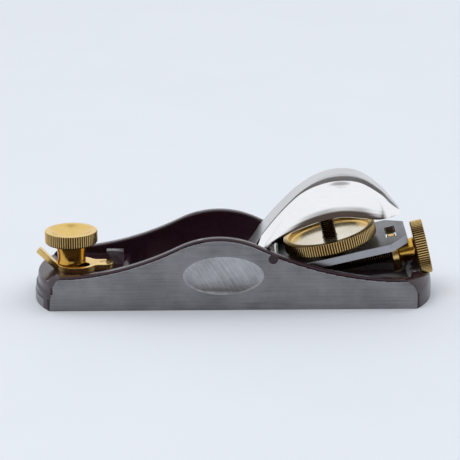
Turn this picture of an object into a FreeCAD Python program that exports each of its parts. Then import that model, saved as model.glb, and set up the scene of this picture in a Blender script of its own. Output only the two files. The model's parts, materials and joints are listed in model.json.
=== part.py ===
import FreeCAD, Part
import math
import os
import re

import Sketcher

# Low-angle block plane.  The origin is the centre of the sole, +X runs to the heel,
# +Y to the far cheek and +Z up.  Lengths are millimetres and angles degrees.

doc = FreeCAD.newDocument("block_plane")
dims = doc.addObject("Spreadsheet::Sheet", "dims")

# Every size that can be set by itself: name, value, what it measures.
SIZES = [
    ("body_width", 45.0, "casting, cheek face to cheek face"),
    ("side_length", 150.5, "flat ground side, end to end"),
    ("toe_nose", 7.15, "how far the round toe stands past the flat side"),
    ("heel_nose", 7.35, "how far the round heel stands past the flat side"),
    ("cheek_wall", 4.0, "cheek thickness"),
    ("sole_thick", 3.6, "floor of the casting"),
    ("hump_height", 30.45, "highest point of the cheeks"),
    ("hump_place", -5.7, "where the cheeks are highest"),
    ("hump_radius", 37.4, "crown of the cheek"),
    ("toe_sweep", 118.0, "hollow curve between toe and crown"),
    ("heel_sweep", 136.5, "hollow curve between crown and heel"),
    ("toe_height", 14.4, "cheek height at the toe"),
    ("heel_height", 12.5, "cheek height at the heel"),
    ("shoulder_run", 9.0, "straight cheek top at each end"),
    ("deck_height", 11.5, "toe deck above the sole"),
    ("deck_land", 2.45, "toe deck behind the cast stop"),
    ("heel_wall", 8.9, "thickness of the heel at its middle"),
    ("heel_round", 7.0, "rounding over the heel"),
    ("toe_round", 5.2, "rounding over the toe"),
    ("run_out", 0.25, "how far above the top the end roundings run out"),
    ("toe_step", 6.8, "height of the lower tier of the toe"),
    ("tier_inset", 0.8, "set-back of the toe's upper tier"),
    ("toe_draft", 0.4, "draft of the toe's lower tier"),
    ("edge_round", 1.3, "rounding of the cheek tops"),
    ("dimple_place", -4.0, "finger dimple along the side"),
    ("dimple_height", 14.7, "finger dimple above the sole"),
    ("dimple_long", 16.5, "half length of the finger dimple"),
    ("dimple_tall", 8.1, "half height of the finger dimple"),
    ("dimple_deep", 1.2, "depth of the finger dimple"),
    ("bed_angle", 13.0, "bed, from the sole"),
    ("mouth_place", -34.0, "where the bed meets the sole"),
    ("bed_length", 28.0, "front bed, along the slope"),
    ("post_place", 62.5, "rear bed post, along the slope"),
    ("post_length", 13.0, "rear bed post, front to back"),
    ("post_width", 20.0, "rear bed post, side to side"),
    ("iron_length", 108.6, "iron, along the bed"),
    ("iron_thick", 3.25, "iron thickness"),
    ("iron_side_gap", 1.0, "gap from iron to cheek"),
    ("iron_rest", 0.5, "edge of the iron behind the sole plane at rest"),
    ("bevel_angle", 25.0, "bevel of the iron"),
    ("iron_corner", 7.3, "cut-off rear corners of the iron"),
    ("slot_place", 102.3, "adjuster slot from the cutting edge"),
    ("slot_length", 4.4, "adjuster slot along the iron"),
    ("slot_width", 14.0, "adjuster slot across the iron"),
    ("stud_size", 6.0, "adjuster stud diameter"),
    ("stud_drop", 6.2, "adjuster axis below the bed plane"),
    ("stud_tail", 11.0, "length of the stud inside the nut"),
    ("stud_room", 2.5, "bore of the nut beyond its stud"),
    ("run_gap", 0.06, "radial running clearance"),
    ("collar_size", 16.2, "collar of the adjuster nut, diameter"),
    ("collar_thick", 3.4, "collar of the adjuster nut"),
    ("sleeve_size", 9.2, "polished neck of the adjuster nut, diameter"),
    ("sleeve_length", 6.9, "polished neck of the adjuster nut"),
    ("adjuster_size", 22.6, "adjuster wheel diameter"),
    ("adjuster_thick", 5.1, "adjuster wheel thickness"),
    ("rim_chamfer", 0.5, "chamfer of the knurled rims and the collar"),
    ("scoop_gap", 1.1, "room around the adjuster wheel over the heel"),
    ("scoop_lead", 7.0, "how far the heel scoop reaches ahead of the wheel"),
    ("rod_size", 4.0, "cross rod diameter"),
    ("rod_run", 50.3, "cross rod behind the mouth"),
    ("rod_rise", 6.652, "cross rod above the iron's top face"),
    ("rod_recess", 0.1, "rod ends below the cheek faces"),
    ("plate_thick", 3.9, "sliding toe plate"),
    ("plate_rest", 4.6, "mouth opening at rest"),
    ("plate_side", 0.8, "web between toe plate and inner cheek face"),
    ("slide_gap", 0.2, "gap around the sliding toe plate"),
    ("plate_travel", 2.6, "travel of the toe plate"),
    ("knob_place", -67.1, "toe knob axis along the plane"),
    ("hub_size", 9.0, "threaded hub of the toe plate, diameter"),
    ("hub_drop", 0.3, "hub below the deck top"),
    ("hub_floor", 1.5, "floor under the bore of the hub"),
    ("knob_stud", 6.0, "toe knob stud diameter"),
    ("stud_foot", 2.0, "lower end of the toe knob stud above the sole"),
    ("stud_depth", 7.5, "toe knob stud inside the knob"),
    ("bore_room", 0.3, "bore of the toe knob beyond its stud"),
    ("lever_thick", 2.3, "mouth lever plate"),
    ("ring_size", 16.6, "ring of the mouth lever, diameter"),
    ("ring_shift", 2.2, "ring centre behind the knob axis"),
    ("ring_side", 0.6, "ring centre towards the near cheek"),
    ("tail_width", 7.8, "tail of the mouth lever"),
    ("pivot_reach", 13.5, "lever pivot behind the knob axis"),
    ("pivot_size", 3.5, "lever pivot pin diameter"),
    ("pivot_depth", 5.0, "lever pivot pin in the deck"),
    ("pivot_drop", 0.1, "lever pivot pin below the lever's top"),
    ("waist_round", 3.0, "hollow corners where ring and tail of the lever meet"),
    ("swing_angle", 13.8, "swing of the mouth lever"),
    ("tab_width", 3.5, "thumb tab of the mouth lever"),
    ("tab_rise", 7.4, "thumb tab above the ring"),
    ("stop_length", 7.2, "cast stop beside the lever tail, along the plane"),
    ("stop_thick", 5.0, "cast stop beside the lever tail, across the plane"),
    ("stop_gap", 0.7, "cast stop behind the lever pivot"),
    ("stop_side", 0.5, "cast stop beside the lever tail, gap"),
    ("stop_height", 5.2, "cast stop above the deck"),
    ("seat_gap", 0.12, "gap under a piece that is clamped in use"),
    ("knob_size", 21.8, "toe knob rim diameter"),
    ("knob_rim", 5.3, "toe knob rim height"),
    ("knob_neck", 11.5, "toe knob waist diameter"),
    ("knob_shoulder", 14.3, "toe knob neck under the rim, diameter"),
    ("knob_foot", 12.0, "toe knob foot diameter"),
    ("knob_height", 13.9, "toe knob, foot to rim top"),
    ("dish_deep", 3.6, "dish in the toe knob"),
    ("dish_lip", 1.6, "flat lip of the toe knob"),
    ("wheel_place", 78.0, "clamp wheel axis along the bed"),
    ("wheel_size", 38.7, "clamp wheel diameter"),
    ("wheel_rise", 1.6, "clamp wheel rim above the iron"),
    ("wheel_thick", 5.1, "clamp wheel rim height"),
    ("wheel_lip", 2.3, "clamp wheel rim thickness"),
    ("wheel_dish", 2.6, "dish in the clamp wheel"),
    ("wheel_foot", 12.0, "foot of the clamp wheel, diameter"),
    ("wheel_nose", 5.0, "bearing nose under the foot, diameter"),
    ("clamp_size", 6.0, "clamp screw diameter"),
    ("clamp_length", 21.0, "clamp screw length"),
    ("clamp_seat", 0.75, "clamp screw above the underside of the rim"),
    ("clamp_room", 0.15, "bore of the wheel below its screw"),
    ("boss_size", 12.5, "screw boss in the lever cap, diameter"),
    ("boss_place", 18.5, "screw boss above the bed plane"),
    ("boss_length", 8.0, "screw boss below the cap's roof"),
    ("boss_room", 1.6, "bore of the boss above its screw"),
    ("cap_half", 15.5, "half width of the lever cap's skirt"),
    ("cap_crown", 8.0, "half width of the lever cap's crown"),
    ("cap_bow", 40.0, "radius across the lever cap's crown"),
    ("cap_fall", 0.9, "most that the crown's edges fall below its ridge"),
    ("cap_wall", 2.6, "lever cap wall"),
    ("cap_lip", 20.0, "front lip of the lever cap behind the mouth"),
    ("lip_thick", 2.4, "front lip of the lever cap, thickness"),
    ("cap_front", 16.0, "half width of the lever cap's front"),
]

for row, (alias, amount, meaning) in enumerate(SIZES, start=1):
    dims.set("A%d" % row, alias)
    dims.set("B%d" % row, str(amount))
    dims.set("C%d" % row, meaning)
    dims.setAlias("B%d" % row, alias)
doc.recompute()
NAMES = {alias for alias, amount, meaning in SIZES}

# Sizes that follow from the driving ones, as sheet expressions.
HALF_SIDE = "side_length / 2"
TOE_END = "(-side_length / 2 - toe_nose)"
HEEL_END = "(side_length / 2 + heel_nose)"
TOE_ARC = "(((body_width / 2) ^ 2 + toe_nose ^ 2) / (2 * toe_nose))"
HEEL_ARC = "(((body_width / 2) ^ 2 + heel_nose ^ 2) / (2 * heel_nose))"
INNER_WIDTH = "(body_width - 2 * cheek_wall)"
SLOPE = "tan(bed_angle)"
DIP = "cos(bed_angle)"
LEAN = "sin(bed_angle)"
PLATE_WIDTH = "(%s - 2 * plate_side)" % INNER_WIDTH
PLATE_BACK = "(mouth_place - plate_rest)"
PIVOT = "(knob_place + pivot_reach)"
STOP_PLACE = "(%s + stop_gap)" % PIVOT
THROAT = "(%s + stop_length + deck_land)" % STOP_PLACE
LEVER_BASE = "(deck_height + seat_gap)"
KNOB_BASE = "(deck_height + 2 * seat_gap + lever_thick)"
IRON_WIDTH = "(%s - 2 * iron_side_gap)" % INNER_WIDTH
COLLAR_PLACE = "(iron_rest + slot_place - collar_thick / 2)"
ADJUSTER_PLACE = "(%s + collar_thick + sleeve_length)" % COLLAR_PLACE
ROD_PLACE = "(mouth_place + rod_run)"
SCREW_BASE = "(iron_thick + wheel_rise + clamp_seat)"

# How far a cutting outline runs past the casting.
AHEAD = "(%s - 5)" % TOE_END
BEHIND = "(%s + 5)" % HEEL_END
ABOVE = "(hump_height + 10)"


def bound(expression):
    """Put the sheet's name before every size in an expression."""
    return re.sub(r"[a-z_]+", lambda word: "dims." + word.group() if word.group() in NAMES else word.group(),
                  expression)


def number(expression):
    """The present value of a sheet expression."""
    return float(dims.evalExpression(bound(str(expression))))


def bind(obj, path, expression):
    """Tie one property of an object to the sheet."""
    obj.setExpression(path, bound(expression))


def plane_of(body, role):
    """The origin plane of a body, such as XY_Plane."""
    for feature in body.Origin.OriginFeatures:
        if feature.Role == role:
            return feature
    raise ValueError("no origin feature " + role)


def new_body(name, label=None):
    body = doc.addObject("PartDesign::Body", name)
    body.Label = label or name
    return body


def new_sketch(body, name, role, shift=None):
    """An empty sketch on an origin plane, moved along the plane's normal by shift."""
    sketch = body.newObject("Sketcher::SketchObject", name)
    sketch.AttachmentSupport = [(plane_of(body, role), "")]
    sketch.MapMode = "FlatFace"
    if shift is not None:
        bind(sketch, "AttachmentOffset.Base.z", shift)
    return sketch


def tie_point(sketch, geometry, position, x, y):
    """Hold one point of a sketch at an x and y given as sheet expressions."""
    for kind, expression in (("DistanceX", x), ("DistanceY", y)):
        index = sketch.addConstraint(Sketcher.Constraint(kind, -1, 1, geometry, position, number(expression)))
        bind(sketch, "Constraints[%d]" % index, expression)


def tie_radius(sketch, geometry, expression):
    index = sketch.addConstraint(Sketcher.Constraint("Radius", geometry, number(expression)))
    bind(sketch, "Constraints[%d]" % index, expression)


def outline(body, name, role, corners, shift=None):
    """A closed sketch through corners of (x, y) or (x, y, radius) expressions.

    A radius makes the edge that leaves the corner an arc: a positive one bulges to the right of
    the way of travel and a negative one to the left.
    """
    sketch = new_sketch(body, name, role, shift)
    points = [FreeCAD.Vector(number(corner[0]), number(corner[1]), 0) for corner in corners]
    for index, corner in enumerate(corners):
        start = points[index]
        finish = points[(index + 1) % len(points)]
        if len(corner) == 2:
            sketch.addGeometry(Part.LineSegment(start, finish))
            continue
        radius = number(corner[2])
        chord = finish - start
        side = FreeCAD.Vector(chord.y, -chord.x, 0).normalize()
        sagitta = abs(radius) - math.sqrt(max(radius ** 2 - (chord.Length / 2) ** 2, 0))
        middle = (start + finish) / 2 + side * math.copysign(sagitta, radius)
        sketch.addGeometry(Part.Arc(start, middle, finish))
    for index, corner in enumerate(corners):
        following = (index + 1) % len(corners)
        ends = arc_ends(sketch, index, points[index])
        next_ends = arc_ends(sketch, following, points[following])
        sketch.addConstraint(Sketcher.Constraint("Coincident", index, ends[1], following, next_ends[0]))
        tie_point(sketch, index, ends[0], corner[0], corner[1])
        if len(corner) == 3:
            radius = corner[2][1:] if corner[2].startswith("-") else corner[2]
            tie_radius(sketch, index, radius)
    return sketch


def arc_ends(sketch, index, start):
    """Which end of an edge is its start of travel: arcs always run anticlockwise."""
    if (sketch.getPoint(index, 1) - start).Length < 1e-6:
        return (1, 2)
    return (2, 1)


def round_sketch(body, name, role, x, y, radius, shift=None):
    """A sketch of one circle."""
    sketch = new_sketch(body, name, role, shift)
    centre = FreeCAD.Vector(number(x), number(y), 0)
    sketch.addGeometry(Part.Circle(centre, FreeCAD.Vector(0, 0, 1), number(radius)))
    tie_point(sketch, 0, 3, x, y)
    tie_radius(sketch, 0, radius)
    return sketch


def pad(body, name, sketch, length, symmetric=False, reverse=False):
    feature = body.newObject("PartDesign::Pad", name)
    feature.Profile = sketch
    feature.SideType = "Symmetric" if symmetric else "One side"
    feature.Reversed = reverse
    bind(feature, "Length", length)
    doc.recompute()
    return feature


def pocket(body, name, sketch, length, symmetric=False, reverse=False):
    """Cut a sketch out of its body and make sure that the cut took material away."""
    before = body.Shape.Volume
    feature = body.newObject("PartDesign::Pocket", name)
    feature.Profile = sketch
    feature.SideType = "Symmetric" if symmetric else "One side"
    feature.Reversed = reverse
    bind(feature, "Length", length)
    doc.recompute()
    must_shrink(body, name, before)
    return feature


def must_shrink(body, name, before):
    if not body.Shape.Volume < before - 1e-3:
        raise RuntimeError(name + " cuts nothing")


def axis_of(body, role):
    return (plane_of(body, role), [""])


def revolve(body, name, sketch, role="Z_Axis"):
    feature = body.newObject("PartDesign::Revolution", name)
    feature.Profile = sketch
    feature.ReferenceAxis = axis_of(body, role)
    feature.Angle = 360
    doc.recompute()
    return feature


def edges_near(shape, test):
    """Names of the edges whose middle point passes a test."""
    names = []
    for index, edge in enumerate(shape.Edges, start=1):
        middle = edge.valueAt((edge.FirstParameter + edge.LastParameter) / 2)
        if test(edge, middle):
            names.append("Edge%d" % index)
    return names


def fillet(body, name, test, radius):
    names = edges_near(body.Tip.Shape, test)
    base = body.Tip
    feature = body.newObject("PartDesign::Fillet", name)
    feature.Base = (base, names)
    bind(feature, "Radius", radius)
    doc.recompute()
    return feature


def groove(body, name, sketch, angle):
    """Turn a sketch about its own upright axis and cut it away."""
    before = body.Shape.Volume
    feature = body.newObject("PartDesign::Groove", name)
    feature.Profile = sketch
    feature.ReferenceAxis = (sketch, ["V_Axis"])
    feature.Midplane = True
    feature.Angle = angle
    doc.recompute()
    must_shrink(body, name, before)
    return feature


def place(obj, x, y, z, tilted=False):
    """Put an object at a point, turned up to the bed's slope when tilted."""
    if tilted:
        obj.Placement = FreeCAD.Placement(FreeCAD.Vector(), FreeCAD.Rotation(FreeCAD.Vector(0, -1, 0), 1))
        bind(obj, "Placement.Rotation.Angle", "bed_angle")
    for axis, expression in (("x", x), ("y", y), ("z", z)):
        bind(obj, "Placement.Base." + axis, expression)


def place_on_bed(obj, along, above):
    """Put an object on the bed frame: along the slope from the mouth, and square to it."""
    place(obj, "mouth_place + (%s) * %s - (%s) * %s" % (along, DIP, above, LEAN), "0",
          "(%s) * %s + (%s) * %s" % (along, LEAN, above, DIP), tilted=True)


def iron_top(run):
    """Height of the iron's top face at a distance behind the mouth."""
    return "((%s) * %s + iron_thick / %s)" % (run, SLOPE, DIP)


ROD_HEIGHT = "(%s + rod_rise)" % iron_top("rod_run")


def rod(name, label, radius, length):
    """A plain cylinder along its own Z."""
    cylinder = doc.addObject("Part::Cylinder", name)
    cylinder.Label = label
    bind(cylinder, "Radius", radius)
    bind(cylinder, "Height", length)
    return cylinder


def boolean(kind, name, base, tool, label=None):
    result = doc.addObject("Part::" + kind, name)
    result.Base = base
    result.Tool = tool
    result.Label = label or name
    doc.recompute()
    return result


# ---- Body casting -------------------------------------------------------------------------

def tangent_centre(px, pz, radius, cx, cz, crown):
    """Centre of the hollow arc through a point that runs smoothly into the crown's circle."""
    reach = math.hypot(cx - px, cz - pz)
    along = (radius ** 2 - (radius + crown) ** 2 + reach ** 2) / (2 * reach)
    across = math.sqrt(radius ** 2 - along ** 2)
    ux, uz = (cx - px) / reach, (cz - pz) / reach
    choices = [(px + along * ux - side * across * uz, pz + along * uz + side * across * ux)
               for side in (1, -1)]
    return max(choices, key=lambda centre: centre[1])


def cheek_line(body):
    """Everything above the cheeks: a crown between two hollow sweeps, all tangent."""
    sketch = new_sketch(body, "cheek_line", "XZ_Plane")
    toe_x, toe_z = "-side_length / 2 + shoulder_run", "toe_height"
    heel_x, heel_z = "side_length / 2 - shoulder_run", "heel_height"
    crown_z = "hump_height - hump_radius"
    crown = FreeCAD.Vector(number("hump_place"), number(crown_z), 0)
    toe = FreeCAD.Vector(number(toe_x), number(toe_z), 0)
    heel = FreeCAD.Vector(number(heel_x), number(heel_z), 0)
    joints = []
    centres = []
    for point, sweep in ((toe, number("toe_sweep")), (heel, number("heel_sweep"))):
        centre = FreeCAD.Vector(*tangent_centre(point.x, point.y, sweep, crown.x, crown.y,
                                                number("hump_radius")), 0)
        centres.append(centre)
        joints.append(crown + (centre - crown).normalize() * number("hump_radius"))
    up = FreeCAD.Vector(0, 1, 0)

    def low_arc(centre, radius, start, finish):
        middle = (start + finish) / 2 - centre
        return Part.Arc(start, centre + middle.normalize() * radius, finish)

    sketch.addGeometry(low_arc(centres[0], number("toe_sweep"), toe, joints[0]))
    sketch.addGeometry(Part.Arc(joints[1], crown + up * number("hump_radius"), joints[0]))
    sketch.addGeometry(low_arc(centres[1], number("heel_sweep"), joints[1], heel))
    far_toe = FreeCAD.Vector(number(AHEAD), toe.y, 0)
    far_heel = FreeCAD.Vector(number(BEHIND), heel.y, 0)
    top_heel = FreeCAD.Vector(far_heel.x, number(ABOVE), 0)
    top_toe = FreeCAD.Vector(far_toe.x, number(ABOVE), 0)
    for start, finish in ((heel, far_heel), (far_heel, top_heel), (top_heel, top_toe), (top_toe, far_toe),
                          (far_toe, toe)):
        sketch.addGeometry(Part.LineSegment(start, finish))
    toe_ends = arc_ends(sketch, 0, toe)
    crown_ends = arc_ends(sketch, 1, joints[0])
    heel_ends = arc_ends(sketch, 2, joints[1])
    sketch.addConstraint(Sketcher.Constraint("Tangent", 0, toe_ends[1], 1, crown_ends[0]))
    sketch.addConstraint(Sketcher.Constraint("Tangent", 1, crown_ends[1], 2, heel_ends[0]))
    sketch.addConstraint(Sketcher.Constraint("Coincident", 2, heel_ends[1], 3, 1))
    for index in range(3, 7):
        sketch.addConstraint(Sketcher.Constraint("Coincident", index, 2, index + 1, 1))
    sketch.addConstraint(Sketcher.Constraint("Coincident", 7, 2, 0, toe_ends[0]))
    tie_radius(sketch, 0, "toe_sweep")
    tie_radius(sketch, 1, "hump_radius")
    tie_radius(sketch, 2, "heel_sweep")
    tie_point(sketch, 1, 3, "hump_place", crown_z)
    tie_point(sketch, 3, 1, heel_x, heel_z)
    tie_point(sketch, 4, 1, BEHIND, heel_z)
    tie_point(sketch, 5, 1, BEHIND, ABOVE)
    tie_point(sketch, 6, 1, AHEAD, ABOVE)
    tie_point(sketch, 7, 1, AHEAD, toe_z)
    tie_point(sketch, 7, 2, toe_x, toe_z)
    return sketch


def body_casting():
    body = new_body("casting_body")
    plan = outline(body, "plan", "XY_Plane", [
        ("-side_length / 2", "-body_width / 2"), ("side_length / 2", "-body_width / 2", HEEL_ARC),
        ("side_length / 2", "body_width / 2"), ("-side_length / 2", "body_width / 2", TOE_ARC)])
    pad(body, "blank", plan, "hump_height + 1")
    pocket(body, "cheek_cut", cheek_line(body), "body_width + 2", symmetric=True)

    def outer_top(edge, middle):
        on_side = abs(abs(middle.y) - number("body_width / 2")) < 0.01
        return on_side and middle.z > number("heel_height") - 0.5 and edge.Length > 3

    fillet(body, "outer_edge", outer_top, "edge_round")

    ceiling = "plate_thick + slide_gap"
    lap = "(%s - 1.5)" % PLATE_BACK
    hollow = outline(body, "hollow", "XZ_Plane", [
        (AHEAD, "deck_height"), (THROAT, "deck_height"), (lap, ceiling), (lap, "-1"),
        ("mouth_place - 1 / " + SLOPE, "-1"),
        ("mouth_place + bed_length * " + DIP, "bed_length * " + LEAN),
        ("mouth_place + bed_length * " + DIP, "sole_thick"), (HEEL_END + " - heel_wall", "sole_thick"),
        (HEEL_END + " - heel_wall", ABOVE), (AHEAD, ABOVE)])
    pocket(body, "hollow_cut", hollow, INNER_WIDTH, symmetric=True)

    def inner_top(edge, middle):
        on_wall = abs(abs(middle.y) - number(INNER_WIDTH + " / 2")) < 0.01
        return on_wall and middle.z > number("heel_height") - 0.5 and edge.Length > 3

    fillet(body, "inner_edge", inner_top, "edge_round / 1.5")

    toe_centre = TOE_END + " + " + TOE_ARC
    tier = "(-%s + toe_draft + tier_inset)" % TOE_ARC
    toe_profile = outline(body, "toe_profile", "XZ_Plane", [
        ("-" + TOE_ARC, "0"), ("-%s + toe_draft" % TOE_ARC, "toe_step"), (tier, "toe_step + tier_inset / 3"),
        (tier, "toe_height + run_out - toe_round", "-toe_round"),
        (tier + " + toe_round", "toe_height + run_out"),
        (tier + " + toe_round", "toe_height + 5"), ("-%s - 5" % TOE_ARC, "toe_height + 5"),
        ("-%s - 5" % TOE_ARC, "0")])
    bind(toe_profile, "AttachmentOffset.Base.x", toe_centre)
    groove(body, "toe_form", toe_profile, 110)
    heel_centre = HEEL_END + " - " + HEEL_ARC
    heel_profile = outline(body, "heel_profile", "XZ_Plane", [
        (HEEL_ARC, "heel_height + run_out - heel_round", "heel_round"),
        (HEEL_ARC + " - heel_round", "heel_height + run_out"),
        (HEEL_ARC + " - heel_round", "heel_height + 5"), (HEEL_ARC + " + 5", "heel_height + 5"),
        (HEEL_ARC + " + 5", "heel_height + run_out - heel_round")])
    bind(heel_profile, "AttachmentOffset.Base.x", heel_centre)
    groove(body, "heel_form", heel_profile, 110)

    post_back = "(post_place + post_length)"
    post = outline(body, "post", "XZ_Plane", [
        ("mouth_place + post_place * " + DIP, "1"), ("mouth_place + %s * %s" % (post_back, DIP), "1"),
        ("mouth_place + %s * %s" % (post_back, DIP), "%s * %s" % (post_back, LEAN)),
        ("mouth_place + post_place * " + DIP, "post_place * " + LEAN)])
    pad(body, "bed_post", post, "post_width", symmetric=True)
    stop_y = "(tail_width / 2 + stop_side)"
    stop = outline(body, "stop", "XY_Plane", [
        (STOP_PLACE, stop_y), (STOP_PLACE + " + stop_length", stop_y),
        (STOP_PLACE + " + stop_length", stop_y + " + stop_thick"), (STOP_PLACE, stop_y + " + stop_thick")],
        shift="deck_height - 0.5")
    pad(body, "lever_stop", stop, "stop_height + 0.5")

    recess_back = lap + " + 0.5"
    recess_side = "%s / 2 + slide_gap" % PLATE_WIDTH
    recess = outline(body, "plate_recess", "XY_Plane", [
        (AHEAD, "-(%s)" % recess_side), (recess_back, "-(%s)" % recess_side), (recess_back, recess_side),
        (AHEAD, recess_side)])
    pocket(body, "plate_recess_cut", recess, ceiling, reverse=True)
    slot = "(hub_size / 2 + slide_gap)"
    slot_end = "(knob_place + plate_travel)"
    hub_slot = outline(body, "hub_slot", "XY_Plane", [
        ("knob_place", "-" + slot), (slot_end, "-" + slot, slot), ("%s + %s" % (slot_end, slot), "0", slot),
        (slot_end, slot), ("knob_place", slot, slot), ("knob_place - " + slot, "0", slot)])
    pocket(body, "hub_slot_cut", hub_slot, "deck_height + 1", reverse=True)
    pivot = round_sketch(body, "pivot_seat", "XY_Plane", PIVOT, "0", "pivot_size / 2", shift="deck_height")
    pocket(body, "pivot_seat_cut", pivot, "pivot_depth")
    cross = round_sketch(body, "rod_hole", "XZ_Plane", ROD_PLACE, ROD_HEIGHT, "rod_size / 2")
    pocket(body, "rod_hole_cut", cross, "body_width + 2", symmetric=True)
    return body


def finish_casting(body):
    """Cut what lies on the slope or is scooped out, and label the casting."""
    scoop = rod("scoop", "scoop", "adjuster_size / 2 + scoop_gap", "adjuster_thick + scoop_lead + 20")
    turn_along_bed(scoop, ADJUSTER_PLACE + " - scoop_lead", "-stud_drop")
    stud_hole = rod("stud_hole", "stud_hole", "stud_size / 2", "post_length + 2")
    turn_along_bed(stud_hole, "post_place - 1", "-stud_drop")
    # The dimple is the cap of an ellipsoid whose centre stands outside the cheek.
    tools = [scoop, stud_hole]
    for side, sign in (("near", "-"), ("far", "")):
        dimple = doc.addObject("Part::Ellipsoid", "dimple_" + side)
        dimple.Angle1 = -90
        dimple.Angle2 = 90
        bind(dimple, "Radius1", "dimple_tall / 0.6")
        bind(dimple, "Radius2", "dimple_long / 0.6")
        bind(dimple, "Radius3", "dimple_deep / 0.2")
        place(dimple, "dimple_place", "%s(body_width / 2 + 4 * dimple_deep)" % sign, "dimple_height")
        tools.append(dimple)
    cutter = doc.addObject("Part::MultiFuse", "casting_cuts")
    cutter.Shapes = tools
    doc.recompute()
    return boolean("Cut", "body_casting", body, cutter)


def turn_along_bed(obj, along, above):
    """Lay a cylinder's own Z along the bed, pointing to the heel."""
    obj.Placement = FreeCAD.Placement(FreeCAD.Vector(), FreeCAD.Rotation(FreeCAD.Vector(0, 1, 0), 1))
    bind(obj, "Placement.Rotation.Angle", "90 - bed_angle")
    bind(obj, "Placement.Base.x", "mouth_place + (%s) * %s - (%s) * %s" % (along, DIP, above, LEAN))
    bind(obj, "Placement.Base.z", "(%s) * %s + (%s) * %s" % (along, LEAN, above, DIP))


# ---- Pieces fixed in the casting ----------------------------------------------------------

def cap_cross_rod():
    """Steel rod across the cheeks that the lever cap hooks under."""
    cross = rod("cap_cross_rod", "cap_cross_rod", "rod_size / 2", "body_width - 2 * rod_recess")
    cross.Placement = FreeCAD.Placement(FreeCAD.Vector(), FreeCAD.Rotation(FreeCAD.Vector(1, 0, 0), 90))
    place(cross, ROD_PLACE, "body_width / 2 - rod_recess", ROD_HEIGHT)
    return cross


def lever_pivot_pin():
    """Pin in the deck that the tail of the mouth lever turns on."""
    pin = rod("lever_pivot_pin", "lever_pivot_pin", "pivot_size / 2",
              "pivot_depth + seat_gap + lever_thick - pivot_drop")
    place(pin, PIVOT, "0", "deck_height - pivot_depth")
    return pin


def adjuster_stud():
    """Threaded stud that stands out of the rear post along the slope."""
    stud = rod("adjuster_stud", "adjuster_stud", "stud_size / 2",
               "%s + stud_tail - post_place" % COLLAR_PLACE)
    turn_along_bed(stud, "post_place", "-stud_drop")
    return stud


# ---- Toe group ----------------------------------------------------------------------------

def toe_plate():
    """Sliding plate under the toe deck, with the threaded hub that the knob draws up."""
    body = new_body("toe_plate")
    half = "%s / 2" % PLATE_WIDTH
    front = "(%s + %s - sqrt(%s ^ 2 - (%s) ^ 2))" % (TOE_END, TOE_ARC, TOE_ARC, half)
    plan = outline(body, "plate_plan", "XY_Plane", [
        (front, "-" + half), (PLATE_BACK, "-" + half), (PLATE_BACK, half), (front, half, TOE_ARC)])
    pad(body, "plate", plan, "plate_thick")
    chamfer = body.newObject("PartDesign::Chamfer", "chip_relief")
    names = edges_near(body.Shape, lambda edge, middle: abs(middle.x - number(PLATE_BACK)) < 0.01
                       and abs(middle.z - number("plate_thick")) < 0.01)
    chamfer.Base = (body.getObject("plate"), names)
    bind(chamfer, "Size", "plate_thick - 1.6")
    doc.recompute()
    pad(body, "hub", round_sketch(body, "hub_ring", "XY_Plane", "knob_place", "0", "hub_size / 2"),
        "deck_height - hub_drop")
    bore = round_sketch(body, "hub_bore", "XY_Plane", "knob_place", "0", "knob_stud / 2 + run_gap",
                        shift="deck_height")
    pocket(body, "hub_bore_cut", bore, "deck_height - hub_floor")
    return body


def toe_knob_stud():
    """Stud that joins the knob to the hub."""
    stud = rod("toe_knob_stud", "toe_knob_stud", "knob_stud / 2", "%s + stud_depth - stud_foot" % KNOB_BASE)
    place(stud, "knob_place", "0", "stud_foot")
    return stud


def toe_knob():
    """Turned knob: foot, waist, shoulder and a rim round a dish."""
    body = new_body("toe_knob")
    rim_base = "knob_height - knob_rim"
    bore = "(knob_stud / 2 + run_gap)"
    profile = outline(body, "knob_profile", "XZ_Plane", [
        (bore, "0"), ("knob_foot / 2", "0"), ("knob_foot / 2", "0.6"), ("knob_neck / 2", "1.6", "-14"),
        ("knob_shoulder / 2", rim_base), ("knob_size / 2 - rim_chamfer", rim_base),
        ("knob_size / 2", rim_base + " + rim_chamfer"), ("knob_size / 2", "knob_height - rim_chamfer"),
        ("knob_size / 2 - rim_chamfer", "knob_height"),
        ("knob_size / 2 - rim_chamfer - dish_lip", "knob_height"),
        ("knob_stud / 2 + 1", "knob_height - dish_deep"), ("0", "knob_height - dish_deep"),
        ("0", "stud_depth + bore_room"), (bore, "stud_depth + bore_room")])
    revolve(body, "knob", profile)
    place(body, "knob_place", "0", KNOB_BASE)
    return body


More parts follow.
